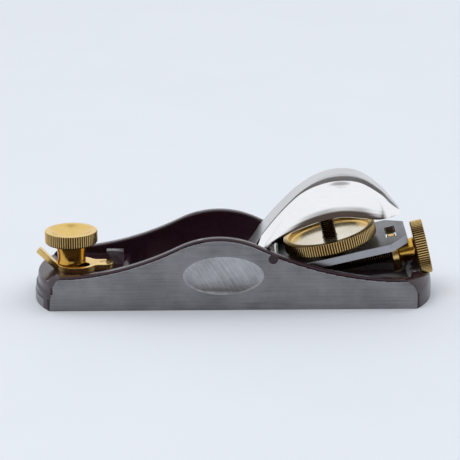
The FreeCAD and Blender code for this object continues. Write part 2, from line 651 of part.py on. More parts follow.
def mouth_lever():
    """Lever round the knob's stud: its slanted slot pushes the toe plate as the lever swings."""
    body = new_body("mouth_lever")
    ring_x = "(knob_place + ring_shift)"
    ring = round_sketch(body, "ring", "XY_Plane", ring_x, "-ring_side", "ring_size / 2")
    pad(body, "ring_plate", ring, "lever_thick")
    tail = outline(body, "tail", "XY_Plane", [
        (ring_x, "-tail_width / 2"), (PIVOT, "-tail_width / 2", "tail_width / 2"),
        ("%s + tail_width / 2" % PIVOT, "0", "tail_width / 2"), (PIVOT, "tail_width / 2"),
        (ring_x, "tail_width / 2")])
    pad(body, "tail_plate", tail, "lever_thick")
    front = "(%s - ring_size / 2 + 2)" % ring_x
    tab = outline(body, "tab", "XZ_Plane", [
        (front, "0"), (front + " - 3", "0"), (front + " - 3 - tab_rise", "tab_rise"),
        (front + " - 1.5 - tab_rise", "tab_rise + lever_thick * 0.7"), (front + " - 2.1", "lever_thick"),
        (front, "lever_thick")], shift="ring_side")
    pad(body, "thumb_tab", tab, "tab_width", symmetric=True)

    def waist(edge, middle):
        upright = abs(edge.tangentAt(edge.FirstParameter).z) > 0.99
        return upright and number(ring_x) + 2 < middle.x < number(PIVOT) - 1

    fillet(body, "waist_fillet", waist, "waist_round")
    pivot = round_sketch(body, "pivot_eye", "XY_Plane", PIVOT, "0", "pivot_size / 2 + run_gap")
    pocket(body, "pivot_eye_cut", pivot, "lever_thick", reverse=True)
    # The slot follows a spiral: its distance from the pivot falls evenly as the lever swings.
    steps = 4
    spare_steps = 2
    for step in range(steps + spare_steps + 1):
        swing = "(swing_angle * %d / %d)" % (step, steps)
        reach = "(pivot_reach - plate_travel * %d / %d)" % (step, steps)
        x = "%s - %s * cos%s" % (PIVOT, reach, swing)
        y = "-%s * sin%s" % (reach, swing)
        eye = round_sketch(body, "slot_%d" % step, "XY_Plane", x, y, "knob_stud / 2 + slide_gap")
        pocket(body, "slot_cut_%d" % step, eye, "lever_thick", reverse=True)
    place(body, "0", "0", LEVER_BASE)
    return body


# ---- Iron and its adjuster ----------------------------------------------------------------

def iron():
    """Cutting iron, bevel up, with the cross slot that the adjuster's collar turns in."""
    body = new_body("iron")
    half = "%s / 2" % IRON_WIDTH
    plan = outline(body, "iron_plan", "XY_Plane", [
        ("0", "-" + half), ("iron_length - iron_corner", "-" + half),
        ("iron_length", "-%s + iron_corner" % half),
        ("iron_length", "%s - iron_corner" % half), ("iron_length - iron_corner", half), ("0", half)])
    pad(body, "iron_blank", plan, "iron_thick")
    bevel = outline(body, "bevel", "XZ_Plane", [
        ("-1", "0"), ("0", "0"), ("iron_thick / tan(bevel_angle)", "iron_thick"), ("-1", "iron_thick")])
    pocket(body, "bevel_cut", bevel, "body_width", symmetric=True)
    start = "slot_place - slot_length / 2"
    finish = "slot_place + slot_length / 2"
    slot = outline(body, "adjuster_slot", "XY_Plane", [
        (start, "-slot_width / 2"), (finish, "-slot_width / 2"), (finish, "slot_width / 2"),
        (start, "slot_width / 2")])
    pocket(body, "adjuster_slot_cut", slot, "iron_thick", reverse=True)
    place_on_bed(body, "iron_rest", "0")
    return body


def adjuster_nut():
    """Brass nut on the stud: collar in the iron's slot, polished neck and knurled wheel."""
    body = new_body("adjuster_nut")
    bore = "(stud_size / 2 + run_gap)"
    neck = "(collar_thick + sleeve_length)"
    back = "(%s + adjuster_thick)" % neck
    profile = outline(body, "nut_profile", "XZ_Plane", [
        ("0", bore), ("0", "collar_size / 2 - rim_chamfer"), ("rim_chamfer", "collar_size / 2"),
        ("collar_thick - rim_chamfer", "collar_size / 2"), ("collar_thick", "collar_size / 2 - rim_chamfer"),
        ("collar_thick", "sleeve_size / 2"), (neck, "sleeve_size / 2"),
        (neck, "adjuster_size / 2 - rim_chamfer"), (neck + " + rim_chamfer", "adjuster_size / 2"),
        (back + " - rim_chamfer", "adjuster_size / 2"), (back, "adjuster_size / 2 - rim_chamfer"),
        (back, "0"),
        ("stud_tail + stud_room", "0"), ("stud_tail + stud_room", bore)])
    revolve(body, "nut", profile, "X_Axis")
    place_on_bed(body, COLLAR_PLACE, "-stud_drop")
    return body


# ---- Lever cap and clamp ------------------------------------------------------------------

# Outer stations of the cap: place behind the mouth, crown height, how its crown and skirt narrow,
# then the height of the skirt's lower edge.  Heights are above the iron's top face.
CAP_STATIONS = [
    (30.0, 3.3, 1.45, 1.0, 0.5), (38.0, 5.9, 1.25, 1.0, 1.3), (42.0, 9.9, 1.1, 1.0, 3.6),
    (46.2, 15.2, 1.0, 1.0, 9.9), (50.0, 18.9, 0.93, 1.0, 12.2), (54.0, 22.7, 0.85, 1.0, 13.7),
    (58.0, 25.8, 0.77, 1.0, 14.7), (62.0, 28.5, 0.69, 1.0, 15.3), (66.0, 30.3, 0.63, 1.0, 15.8),
    (70.0, 31.5, 0.59, 1.0, 16.1), (74.2, 31.9, 0.56, 1.0, 16.2), (78.3, 31.5, 0.54, 1.0, 15.9),
    (82.5, 30.3, 0.52, 0.99, 14.9), (86.6, 28.3, 0.5, 0.97, 13.5), (90.8, 25.1, 0.47, 0.93, 11.9),
    (94.9, 20.7, 0.43, 0.85, 10.6), (99.1, 15.0, 0.37, 0.62, 9.3), (101.8, 11.3, 0.3, 0.44, 8.8),
    (102.9, 9.5, 0.2, 0.3, 8.4),
]
HOLLOW_START = 47
HOLLOW_END = 100
HOLLOW_DROP = 2


def loft(body, kind, name, sections):
    feature = body.newObject("PartDesign::" + kind, name)
    feature.Profile = sections[0]
    feature.Sections = sections[1:]
    feature.Ruled = True
    doc.recompute()
    return feature


def cap_section(body, name, place_x, crown, crown_half, skirt_half, low):
    """One cross section of the cap: a bowed crown over two flat flanks."""
    edge = "%s - min(cap_fall; %s ^ 2 / (2 * cap_bow))" % (crown, crown_half)
    return outline(body, name, "YZ_Plane", [
        ("-" + skirt_half, low), (skirt_half, low), (crown_half, edge, "cap_bow"), ("-" + crown_half, edge)],
        shift=place_x)


def cap_run(run):
    """Place along the plane of a distance behind the mouth."""
    return "(mouth_place + %s)" % run


def cap_height(run, rise):
    """Height above the sole of a point that stands above the iron's top face."""
    return "(%s + %s)" % (iron_top(run), rise)


def lever_cap():
    """Hollow domed cap: front lip on the iron, hook under the cross rod, boss for the clamp screw."""
    outer = new_body("cap_outer")
    sections = [cap_section(outer, "cap_lip_section", cap_run("cap_lip"),
                            cap_height("cap_lip", "seat_gap + lip_thick"), "(cap_front - 2)", "cap_front",
                            cap_height("cap_lip", "seat_gap"))]
    for index, (run, top, crown, skirt, low) in enumerate(CAP_STATIONS):
        sections.append(cap_section(outer, "cap_section_%02d" % index, cap_run(run), cap_height(run, top),
                                    "(cap_crown * %s)" % crown, "(cap_half * %s)" % skirt,
                                    cap_height(run, low)))
    loft(outer, "AdditiveLoft", "cap_shell", sections)

    inner = new_body("cap_inner")
    rod_front = "(%s - rod_size / 2 - 0.4)" % ROD_PLACE
    hollow = [station for station in CAP_STATIONS if HOLLOW_START < station[0] < HOLLOW_END]
    sections = [cap_section(inner, "inner_section_front", rod_front, ROD_HEIGHT + " + 5.9",
                            "(cap_crown * 0.8)", "(cap_half - cap_wall)", ROD_HEIGHT + " - 11.6")]
    for index, (run, top, crown, skirt, low) in enumerate(hollow):
        sections.append(cap_section(inner, "inner_section_%02d" % index, cap_run(run),
                                    "(%s - 1.15 * cap_wall)" % cap_height(run, top),
                                    "(cap_crown * %s - cap_wall / 2)" % crown,
                                    "(cap_half * %s - cap_wall / 2)" % skirt,
                                    "(%s - %s)" % (cap_height(run, low), HOLLOW_DROP)))
    loft(inner, "AdditiveLoft", "cap_hollow", sections)

    boss_full = rod("boss_full", "boss_full", "boss_size / 2", "40")
    place_on_bed(boss_full, "wheel_place", "boss_place")
    boss = rod("boss", "boss", "boss_size / 2", "boss_length")
    place_on_bed(boss, "wheel_place", "boss_place")
    bore = rod("boss_bore", "boss_bore", "clamp_size / 2 + run_gap",
               "%s + clamp_length + boss_room - boss_place + 1" % SCREW_BASE)
    place_on_bed(bore, "wheel_place", "boss_place - 1")
    hook_body = new_body("cap_hook")
    seat = "(%s - rod_size / 2 - seat_gap)" % ROD_HEIGHT
    tip = ROD_PLACE + " + rod_size / 2 + 0.5"
    top = ROD_HEIGHT + " + 3"
    hook = outline(hook_body, "hook", "XZ_Plane", [
        (ROD_PLACE + " - 11.3", cap_height("rod_run - 11.3", "1.7")), (tip, seat + " - 2"), (tip, seat),
        (rod_front, seat), (rod_front, top), (ROD_PLACE + " - 6.3", top),
        (ROD_PLACE + " - 10.3", cap_height("rod_run - 10.3", "4.4"))])
    pad(hook_body, "hook_pad", hook, "cap_crown * 1.8", symmetric=True)

    space = boolean("Cut", "cap_space", inner, boss_full)
    shell = boolean("Cut", "cap_hollowed", outer, space)
    with_boss = boolean("Fuse", "cap_with_boss", shell, boss)
    with_hook = boolean("Fuse", "cap_with_hook", with_boss, hook_body)
    return boolean("Cut", "lever_cap", with_hook, bore)


def clamp_wheel():
    """Knurled wheel whose foot bears on the iron, with a blind bore for its screw."""
    body = new_body("clamp_wheel")
    bore = "(clamp_size / 2 + run_gap)"
    foot = "(iron_thick + seat_gap)"
    rim = "(iron_thick + wheel_rise)"
    top = "(iron_thick + wheel_rise + wheel_thick)"
    profile = outline(body, "wheel_profile", "XZ_Plane", [
        ("0", foot), ("wheel_nose / 2", foot), ("wheel_foot / 2", foot + " + wheel_rise / 2"),
        ("wheel_foot / 2", rim), ("wheel_size / 2 - rim_chamfer", rim),
        ("wheel_size / 2", rim + " + rim_chamfer"),
        ("wheel_size / 2", top + " - rim_chamfer"), ("wheel_size / 2 - rim_chamfer", top),
        ("wheel_size / 2 - wheel_lip", top), ("wheel_size / 2 - wheel_lip - 0.5", top + " - wheel_dish"),
        (bore, top + " - wheel_dish"), (bore, rim + " + clamp_seat - clamp_room"),
        ("0", rim + " + clamp_seat - clamp_room")])
    revolve(body, "wheel", profile)
    place_on_bed(body, "wheel_place", "0")
    return body


def clamp_screw():
    """Threaded stud from the wheel up into the cap's boss."""
    screw = rod("clamp_screw", "clamp_screw", "clamp_size / 2", "clamp_length")
    place_on_bed(screw, "wheel_place", SCREW_BASE)
    return screw


def write_nodes(nodes):
    """Check the whole document, then write one STEP file for each piece."""
    doc.recompute()
    failed = [obj.Name for obj in doc.Objects if "Invalid" in obj.State or "Error" in obj.State]
    if failed:
        raise RuntimeError("failed objects: " + ", ".join(failed))
    for node in nodes:
        if node.Shape.isNull() or not node.Shape.isValid() or not node.Shape.Solids:
            raise RuntimeError(node.Label + " has no valid solid")
    os.makedirs("parts", exist_ok=True)
    for node in nodes:
        node.Shape.exportStep("parts/%s.step" % node.Label)
        print("%-18s solids %d  volume %10.2f" % (node.Label, len(node.Shape.Solids), node.Shape.Volume))


write_nodes([
    finish_casting(body_casting()), cap_cross_rod(), lever_pivot_pin(), adjuster_stud(),
    toe_plate(), toe_knob_stud(), toe_knob(), mouth_lever(),
    iron(), adjuster_nut(), lever_cap(), clamp_wheel(), clamp_screw(),
])
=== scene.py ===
"""The looks of a low-angle block plane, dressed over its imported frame.

Sizes in the classes are millimetres, in each piece's own frame, where Z is the axis that the
piece is turned about.  Every mesh is brought into the plane's frame, in metres, before it
becomes an object.
"""
import json
import logging
import math
from dataclasses import dataclass
from enum import Enum
from typing import Any, Callable, Sequence

import bmesh
import bpy
from mathutils import Matrix, Vector


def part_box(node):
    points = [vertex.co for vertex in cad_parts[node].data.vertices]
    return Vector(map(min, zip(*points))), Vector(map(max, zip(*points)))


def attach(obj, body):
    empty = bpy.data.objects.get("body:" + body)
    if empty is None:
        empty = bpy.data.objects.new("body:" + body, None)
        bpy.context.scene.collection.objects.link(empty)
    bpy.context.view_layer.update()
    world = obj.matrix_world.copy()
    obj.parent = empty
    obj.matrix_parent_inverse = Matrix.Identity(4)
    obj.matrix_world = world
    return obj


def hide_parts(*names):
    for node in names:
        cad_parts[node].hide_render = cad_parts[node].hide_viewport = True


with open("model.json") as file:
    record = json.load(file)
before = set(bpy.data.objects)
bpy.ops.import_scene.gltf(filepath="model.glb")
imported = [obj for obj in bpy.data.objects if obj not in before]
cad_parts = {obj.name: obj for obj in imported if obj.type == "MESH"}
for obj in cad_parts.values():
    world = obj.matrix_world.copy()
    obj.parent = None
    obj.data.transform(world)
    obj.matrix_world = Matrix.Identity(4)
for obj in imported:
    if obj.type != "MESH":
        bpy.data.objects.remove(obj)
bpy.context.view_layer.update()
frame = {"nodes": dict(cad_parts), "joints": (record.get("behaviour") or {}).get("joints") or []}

log = logging.getLogger("block_plane")

MM = 0.001
FULL_TURN = 2 * math.pi

BED_SLOPE = math.radians(13)
MERGE = 1e-4
RIM_STEP = 0.15
THREAD_STEPS = 28

Colour = tuple[float, float, float]
Pair = tuple[float, float]
Material, Object, Socket = bpy.types.Material, bpy.types.Object, bpy.types.NodeSocket
Shape = bmesh.types.BMesh
Test = Callable[[Vector], bool]


# ---- Shader graphs ----

class Graph:
    """A node tree with short ways to add nodes and join them."""

    def __init__(self, tree: bpy.types.NodeTree) -> None:
        """Wrap the tree of a material, a world or a node group."""
        self.tree = tree

    def node(self, kind: str, inputs: dict[Any, Any] | None = None, **settings: Any) -> bpy.types.Node:
        """Add one node.

        Args:
            kind: the node's type, without the leading "ShaderNode".
            inputs: sockets to join or values to set, by socket name or number.
            settings: properties of the node.

        Returns:
            The new node.
        """
        made = self.tree.nodes.new("ShaderNode" + kind)
        for key, value in settings.items():
            setattr(made, key, value)
        self.fill(made, inputs or {})
        return made

    def fill(self, node: bpy.types.Node, inputs: dict[Any, Any]) -> None:
        """Join or set several sockets of a node, by name or number."""
        for key, value in inputs.items():
            self.feed(node.inputs[key], value)

    def feed(self, socket: Socket, value: Any) -> None:
        """Join a socket to another, or set its value."""
        if isinstance(value, Socket):
            self.tree.links.new(value, socket)
        elif isinstance(value, tuple) and socket.type == "RGBA":
            socket.default_value = (*value[:3], 1.0)
        else:
            socket.default_value = value

    def math(self, operation: str, first: Any, second: Any = 0.0, clamp: bool = False) -> Socket:
        """The result of one arithmetic step."""
        return self.node("Math", {0: first, 1: second}, operation=operation, use_clamp=clamp).outputs[0]

    def vector(self, operation: str, first: Any, second: Any = (0.0, 0.0, 0.0)) -> Socket:
        """The vector result of one vector step."""
        return self.node("VectorMath", {0: first, 1: second}, operation=operation).outputs[0]

    def measure(self, operation: str, first: Any, second: Any = (0.0, 0.0, 0.0)) -> Socket:
        """The number that one vector step gives."""
        return self.node("VectorMath", {0: first, 1: second}, operation=operation).outputs["Value"]

    def column(self, vector: Any) -> tuple[Socket, Socket]:
        """A point's distance from Z, and its height."""
        parts = self.node("SeparateXYZ", {0: vector})
        flat = self.node("CombineXYZ", {0: parts.outputs[0], 1: parts.outputs[1]})
        return self.measure("LENGTH", flat.outputs[0]), parts.outputs[2]

    def span(self, value: Any, low: float, high: float, new_low: float, new_high: float) -> Socket:
        """A value moved from one range to another, clamped and eased."""
        made = self.node("MapRange", {"Value": value, 1: low, 2: high, 3: new_low, 4: new_high},
                         interpolation_type="SMOOTHSTEP")
        return made.outputs[0]

    def blend(self, mask: Any, first: Any, second: Any, kind: str = "RGBA") -> Socket:
        """A mix of two colours or two numbers.

        Args:
            mask: 0 gives the first and 1 the second.
            first: colour or number.
            second: colour or number.
            kind: "RGBA" for colours and "FLOAT" for numbers.

        Returns:
            The mixed socket.
        """
        made = self.tree.nodes.new("ShaderNodeMix")
        made.data_type = kind
        names = {"RGBA": (0, 6, 7, 2), "FLOAT": (0, 2, 3, 0)}[kind]
        for index, value in zip(names, (mask, first, second)):
            self.feed(made.inputs[index], value)
        return made.outputs[names[3]]

    def effect(self, group: bpy.types.NodeTree, **values: Any) -> Socket:
        """Place a shared effect and give its first output."""
        made = self.node("Group")
        made.node_tree = group
        self.fill(made, values)
        return made.outputs[0]

    def tangent(self, local: Socket, place: Matrix) -> Socket:
        """The direction round Z of a piece's own frame, as the shader wants it."""
        around = self.vector("CROSS_PRODUCT", (0.0, 0.0, 1.0), local)
        turned = self.node("Mapping", {"Vector": around, "Rotation": place.to_euler()}, vector_type="VECTOR")
        made = self.node("VectorTransform", {0: turned.outputs[0]}, vector_type="VECTOR",
                         convert_from="OBJECT", convert_to="WORLD")
        return made.outputs[0]

    def local(self, place: Matrix) -> Socket:
        """Object coordinates in millimetres, in a piece's own frame."""
        where = self.node("TexCoord").outputs["Object"]
        mapping = self.node("Mapping", {
            "Vector": where, "Location": place.to_translation(), "Rotation": place.to_euler(),
            "Scale": (MM, MM, MM)}, vector_type="TEXTURE")
        return mapping.outputs[0]


def shared_effect(name: str, inputs: dict[str, Any],
                  build: Callable[[Graph, Any], Any]) -> bpy.types.NodeTree:
    """Make a node group with one output.

    Args:
        name: the effect's name.
        inputs: its inputs and their usual values; a tuple stands for a vector.
        build: adds the nodes, given the graph and the group's input sockets, and returns the output.

    Returns:
        The new group.
    """
    tree = bpy.data.node_groups.new(name, "ShaderNodeTree")
    for key, value in inputs.items():
        kind = "NodeSocketVector" if isinstance(value, tuple) else "NodeSocketFloat"
        tree.interface.new_socket(key, in_out="INPUT", socket_type=kind).default_value = value
    tree.interface.new_socket("Value", in_out="OUTPUT", socket_type="NodeSocketFloat")
    graph = Graph(tree)
    start = tree.nodes.new("NodeGroupInput")
    finish = tree.nodes.new("NodeGroupOutput")
    tree.links.new(build(graph, start.outputs), finish.inputs[0])
    return tree


class Effects:
    """The effects that several finishes share, each built once."""

    def __init__(self) -> None:
        """Build every shared group."""
        origin = (0.0, 0.0, 0.0)
        self.grain = shared_effect("ground_lines", {
            "Vector": origin, "Along": 0.1, "Across": 5.0}, self.build_grain)
        self.rings = shared_effect("turned_rings", {"Vector": origin, "Density": 3.0}, self.build_rings)
        self.smudge = shared_effect("smudges", {"Vector": origin, "Density": 0.08}, self.build_smudge)
        self.specks = shared_effect("specks", {
            "Vector": origin, "Density": 1.5, "Spread": 0.3}, self.build_specks)
        # Edge mask, used both for rubbed edges and for a painted edge highlight
        self.edges = shared_effect("worn_and_highlit_edges", {"Radius": 0.0003, "Strength": 3.0}, self.build_edge_wear_and_highlight)
        self.ridges = shared_effect("ridges", {
            "Vector": origin, "Crest": 10.0, "Depth": 0.3}, self.build_ridges)

    @staticmethod
    def build_grain(graph: Graph, inputs: Any) -> Socket:
        """Fine lines along X."""
        scale = graph.node("CombineXYZ", {0: inputs["Along"], 1: inputs["Across"], 2: inputs["Across"]})
        stretched = graph.vector("MULTIPLY", inputs["Vector"], scale.outputs[0])
        noise = graph.node("TexNoise", {"Vector": stretched, "Scale": 1.0, "Detail": 4.0, "Roughness": 0.6})
        return graph.span(noise.outputs[0], 0.25, 0.75, 0.0, 1.0)

    @staticmethod
    def build_rings(graph: Graph, inputs: Any) -> Socket:
        """Tool marks round Z, on faces and on barrels alike."""
        radius, height = graph.column(inputs["Vector"])
        track = graph.math("MULTIPLY", graph.math("ADD", radius, height), inputs["Density"])
        noise = graph.node("TexNoise", {"W": track, "Scale": 1.0, "Detail": 2.0}, noise_dimensions="1D")
        return noise.outputs[0]

    @staticmethod
    def build_smudge(graph: Graph, inputs: Any) -> Socket:
        """Broad uneven patches from handling."""
        noise = graph.node("TexNoise", {
            "Vector": inputs["Vector"], "Scale": inputs["Density"], "Detail": 5.0, "Roughness": 0.65})
        return graph.span(noise.outputs[0], 0.3, 0.7, 0.0, 1.0)

    @staticmethod
    def build_specks(graph: Graph, inputs: Any) -> Socket:
        """Sparse round specks of dust, or pits."""
        cells = graph.node("TexVoronoi", {"Vector": inputs["Vector"], "Scale": inputs["Density"]})
        chance = graph.node("SeparateColor", {0: cells.outputs["Color"]}).outputs[0]
        kept = graph.math("LESS_THAN", chance, inputs["Spread"])
        size = graph.span(cells.outputs["Distance"], 0.06, 0.16, 1.0, 0.0)
        return graph.math("MULTIPLY", kept, size)

    @staticmethod
    def build_edge_wear_and_highlight(graph: Graph, inputs: Any) -> Socket:
        """Edges, where rubbing shows first and where a painted edge highlight goes."""
        rounded = graph.node("Bevel", {"Radius": inputs["Radius"]}, samples=6).outputs[0]
        true = graph.node("NewGeometry").outputs["Normal"]
        turned = graph.math("SUBTRACT", 1.0, graph.measure("DOT_PRODUCT", rounded, true))
        return graph.math("MULTIPLY", turned, inputs["Strength"], clamp=True)

    @staticmethod
    def build_ridges(graph: Graph, inputs: Any) -> Socket:
        """1 on the crests of a knurl or thread and 0 in its valleys, by distance from Z."""
        radius = graph.column(inputs["Vector"])[0]
        below = graph.math("DIVIDE", graph.math("SUBTRACT", inputs["Crest"], radius), inputs["Depth"])
        return graph.span(below, 0.05, 0.6, 1.0, 0.0)


effects = Effects()


class Marks(Enum):
    """How a bare metal surface was last worked."""

    TURNED = "turned"
    GROUND = "ground"


def start_material(name: str) -> tuple[Material, Graph, bpy.types.Node]:
    """An empty material with a Principled shader.

    Args:
        name: the material's name.

    Returns:
        The material, its graph and its shader.
    """
    material = bpy.data.materials.new(name)
    material.use_nodes = True
    material.node_tree.nodes.clear()
    graph = Graph(material.node_tree)
    shader = graph.node("BsdfPrincipled")
    graph.node("OutputMaterial", {"Surface": shader.outputs[0]})
    return material, graph, shader


@dataclass(frozen=True)
class BareMetal:
    """Bare metal with tool marks, handling smudges, and rubbed edges that also carry a painted edge
    highlight.
    """

    colour: Colour
    shade: Colour
    roughness: float
    marks: Marks
    depth: float = 0.004
    density: float = 3.0
    uneven: float = 0.12
    specks: float = 0.0
    turn: float = 0.0
    edge_wear_and_highlight_gain: float = 1.25
    valley_shade: Colour = (0.10, 0.05, 0.015)
    metallic: float = 1.0
    lathe: float = 0.6

    def material(self, name: str, place: Matrix = Matrix.Identity(4),
                 ridges: Pair | None = None) -> Material:
        """Build the material.

        Args:
            name: the material's name.
            place: the frame that the marks follow: rings go round its Z and lines along its X.
            ridges: radius over the ridges and their depth, where painted shade darkens the valleys.

        Returns:
            The material.
        """
        material, graph, shader = start_material(name)
        local = graph.local(place @ Matrix.Rotation(self.turn, 4, "Y"))
        if self.marks is Marks.TURNED:
            marks = graph.effect(effects.rings, Vector=local, Density=self.density)
            graph.fill(shader, {"Tangent": graph.tangent(local, place), "Anisotropic": self.lathe})
        else:
            marks = graph.effect(effects.grain, Vector=local, Across=self.density, Along=self.density / 40)
        smudge = graph.effect(effects.smudge, Vector=local)
        edges = graph.effect(effects.edges)
        tone = graph.math("ADD", graph.math("MULTIPLY", marks, 0.5), graph.math("MULTIPLY", smudge, 0.5))
        colour = graph.blend(tone, self.shade, self.colour)
        if self.specks:
            pits = graph.effect(effects.specks, Vector=local, Density=0.9, Spread=self.specks)
            dark = tuple(part * 0.35 for part in self.shade)
            colour = graph.blend(graph.math("MULTIPLY", pits, 0.6), colour, dark)
        # Edges lightened: partly rubbed metal, partly a painted edge highlight
        bright = tuple(min(1.0, c * self.edge_wear_and_highlight_gain) for c in self.colour)
        colour = graph.blend(edges, colour, bright)
        # Painted shade: knurl and thread valleys darkened by depth
        if ridges:
            crests = graph.effect(effects.ridges, Vector=local, Crest=ridges[0], Depth=ridges[1])
            colour = graph.blend(crests, self.valley_shade, colour)
        rough, swing = self.roughness, self.uneven
        bump = graph.node("Bump", {"Height": marks, "Distance": self.depth * MM, "Strength": 1.0})
        graph.fill(shader, {
            "Base Color": colour, "Metallic": self.metallic, "Normal": bump.outputs[0],
            "Roughness": graph.span(tone, 0.0, 1.0, rough * (1 + swing), rough * (1 - swing))})
        return material


@dataclass(frozen=True)
class Enamel:
    """Glossy enamel over cast iron, rubbed through to metal along the ground sides."""

    colour: Colour = (0.024, 0.0085, 0.014)
    tint: Colour = (0.030, 0.0115, 0.019)
    # dust also serves as the colour of the painted highlight along the enamel's edges
    dust: Colour = (0.22, 0.18, 0.21)
    metal: Colour = (0.42, 0.41, 0.42)
    side: float = 22.5
    creep: float = 0.05

    def material(self, name: str) -> Material:
        """Build the material; the border with the bare sides wanders a little."""
        material, graph, shader = start_material(name)
        local = graph.local(Matrix.Identity(4))
        smudge = graph.effect(effects.smudge, Vector=local, Density=0.25)
        dust = graph.effect(effects.specks, Vector=local, Density=0.9, Spread=0.05)
        edges = graph.effect(effects.edges, Radius=0.5 * MM, Strength=1.2)
        across = graph.math("ABSOLUTE", graph.node("SeparateXYZ", {0: local}).outputs[1])
        wander = graph.node("TexNoise", {"Vector": local, "Scale": 1.1, "Detail": 3.0}).outputs[0]
        border = graph.math("ADD", across, graph.math("MULTIPLY", wander, self.creep * 2))
        bare = graph.span(border, self.side - 0.01, self.side + 0.02, 0.0, 1.0)
        enamel = graph.blend(smudge, self.colour, self.tint)
        enamel = graph.blend(graph.math("MULTIPLY", dust, 0.35), enamel, self.dust)
        # Painted highlight: enamel edges lightened toward the dust colour
        enamel = graph.blend(graph.math("MULTIPLY", edges, 0.12), enamel, self.dust)
        gloss = graph.blend(smudge, 0.26, 0.20, "FLOAT")
        peel = graph.node("TexNoise", {"Vector": local, "Scale": 1.3, "Detail": 3.0}).outputs[0]
        bump = graph.node("Bump", {"Height": peel, "Distance": 0.03 * MM, "Strength": 1.0})
        graph.fill(shader, {
            "Base Color": graph.blend(bare, enamel, self.metal), "Metallic": bare,
            "Roughness": graph.blend(bare, gloss, 0.4, "FLOAT"),
            "Coat Weight": graph.blend(bare, 0.2, 0.0, "FLOAT"), "Coat Roughness": 0.12,
            "Specular IOR Level": 0.3, "Normal": bump.outputs[0]})
        return material


@dataclass(frozen=True)
class Paper:
    """The pale matt sheet that the plane stands on."""

    colour: Colour = (0.80, 0.835, 0.90)

    def material(self, name: str) -> Material:
        """Build the material, with a trace of unevenness."""
        material, graph, shader = start_material(name)
        local = graph.local(Matrix.Identity(4))
        smudge = graph.effect(effects.smudge, Vector=local, Density=0.01)
        pale = tuple(c * 0.985 for c in self.colour)
        graph.fill(shader, {"Base Color": graph.blend(smudge, self.colour, pale), "Roughness": 0.75})
        return material


GROUND_SIDE = BareMetal((0.30, 0.30, 0.305), (0.19, 0.19, 0.20), 0.40, Marks.GROUND, 0.008, 1.6, specks=0.3)
DIMPLE = BareMetal((0.52, 0.52, 0.53), (0.30, 0.30, 0.31), 0.34, Marks.GROUND, 0.02, 1.5, turn=1.0)
# Two copies of the iron's steel: a lighter one with a painted pale reflection for its edges, a darker one
# with a painted dark reflection for its top face
PALE_REFLECTION_IRON = BareMetal((0.42, 0.42, 0.44), (0.34, 0.34, 0.36), 0.30, Marks.GROUND, 0.002, 4.0)
DARK_REFLECTION_IRON = BareMetal((0.155, 0.155, 0.165), (0.115, 0.115, 0.125), 0.32, Marks.GROUND, 0.002, 3.0)
BRIGHT_STEEL = BareMetal((0.62, 0.61, 0.60), (0.48, 0.47, 0.46), 0.22, Marks.TURNED, 0.003)
BRASS = BareMetal((0.86, 0.62, 0.24), (0.72, 0.48, 0.15), 0.20, Marks.TURNED, 0.010, 2.5, edge_wear_and_highlight_gain=1.1)
GOLD_BRASS = BareMetal((0.76, 0.45, 0.09), (0.62, 0.34, 0.05), 0.17, Marks.TURNED, 0.006, 2.5, edge_wear_and_highlight_gain=1.1)
KNURLED_BRASS = BareMetal((0.90, 0.66, 0.30), (0.80, 0.56, 0.22), 0.30, Marks.TURNED, 0.004, 2.5,
                          edge_wear_and_highlight_gain=1.05)
# Pale cream brass: a painted reflection of something white, for the wheel's dish floor
CREAM_REFLECTION_BRASS = BareMetal((0.97, 0.91, 0.77), (0.90, 0.81, 0.62), 0.20, Marks.TURNED, 0.006, 2.5, metallic=0.8)
# Brass darkened with painted shade, for the studs and screw that sit in shadow under the iron and the cap
SHADED_BRASS = BareMetal((0.36, 0.23, 0.10), (0.16, 0.09, 0.04), 0.36, Marks.TURNED, 0.004,
                       valley_shade=(0.03, 0.017, 0.008))
NICKEL = BareMetal((0.90, 0.90, 0.905), (0.86, 0.86, 0.87), 0.08, Marks.GROUND, 0.0006, 1.0)
SATIN_NICKEL = BareMetal((0.66, 0.66, 0.67), (0.58, 0.58, 0.59), 0.36, Marks.GROUND, 0.002, 4.0)
CAST_NICKEL = BareMetal((0.55, 0.54, 0.53), (0.38, 0.37, 0.36), 0.45, Marks.GROUND, 0.02, 1.5)


# ---- Mesh making ----

def arc(start: Pair, end: Pair, radius: float, steps: int) -> list[Pair]:
    """Points of an arc, its ends included.

    Args:
        start: (radius, height) where it begins.
        end: (radius, height) where it ends.
        radius: bulges to the right of the way of travel when positive, to the left when negative.
        steps: number of chords.

    Returns:
        The points.
    """
    first, last = Vector(start), Vector(end)
    chord = last - first
    aside = Vector((chord.y, -chord.x)).normalized()
    rise = math.sqrt(radius ** 2 - (chord.length / 2) ** 2)
    centre = (first + last) / 2 - aside * math.copysign(rise, radius)
    begin, finish = first - centre, last - centre
    sweep = begin.angle_signed(finish)
    turned = [Matrix.Rotation(-sweep * index / steps, 2) @ begin + centre for index in range(steps + 1)]
    return [(point.x, point.y) for point in turned]


def turn_profile(profile: Sequence[Pair], steps: int) -> Shape:
    """Turn a closed profile of (radius, height) points about Z.

    Args:
        profile: corners in order round the section.
        steps: number of columns in the full turn.

    Returns:
        The turned shape.
    """
    shape = bmesh.new()
    points = [shape.verts.new((radius, 0.0, height)) for radius, height in profile]
    lines = [shape.edges.new(pair) for pair in zip(points, points[1:] + points[:1])]
    bmesh.ops.spin(shape, geom=points + lines, cent=(0, 0, 0), axis=(0, 0, 1), dvec=(0, 0, 0),
                   angle=FULL_TURN, steps=steps, use_merge=True)
    bmesh.ops.remove_doubles(shape, verts=shape.verts, dist=MERGE)
    bmesh.ops.dissolve_degenerate(shape, edges=shape.edges, dist=1e-5)
    bmesh.ops.recalc_face_normals(shape, faces=shape.faces)
    return shape


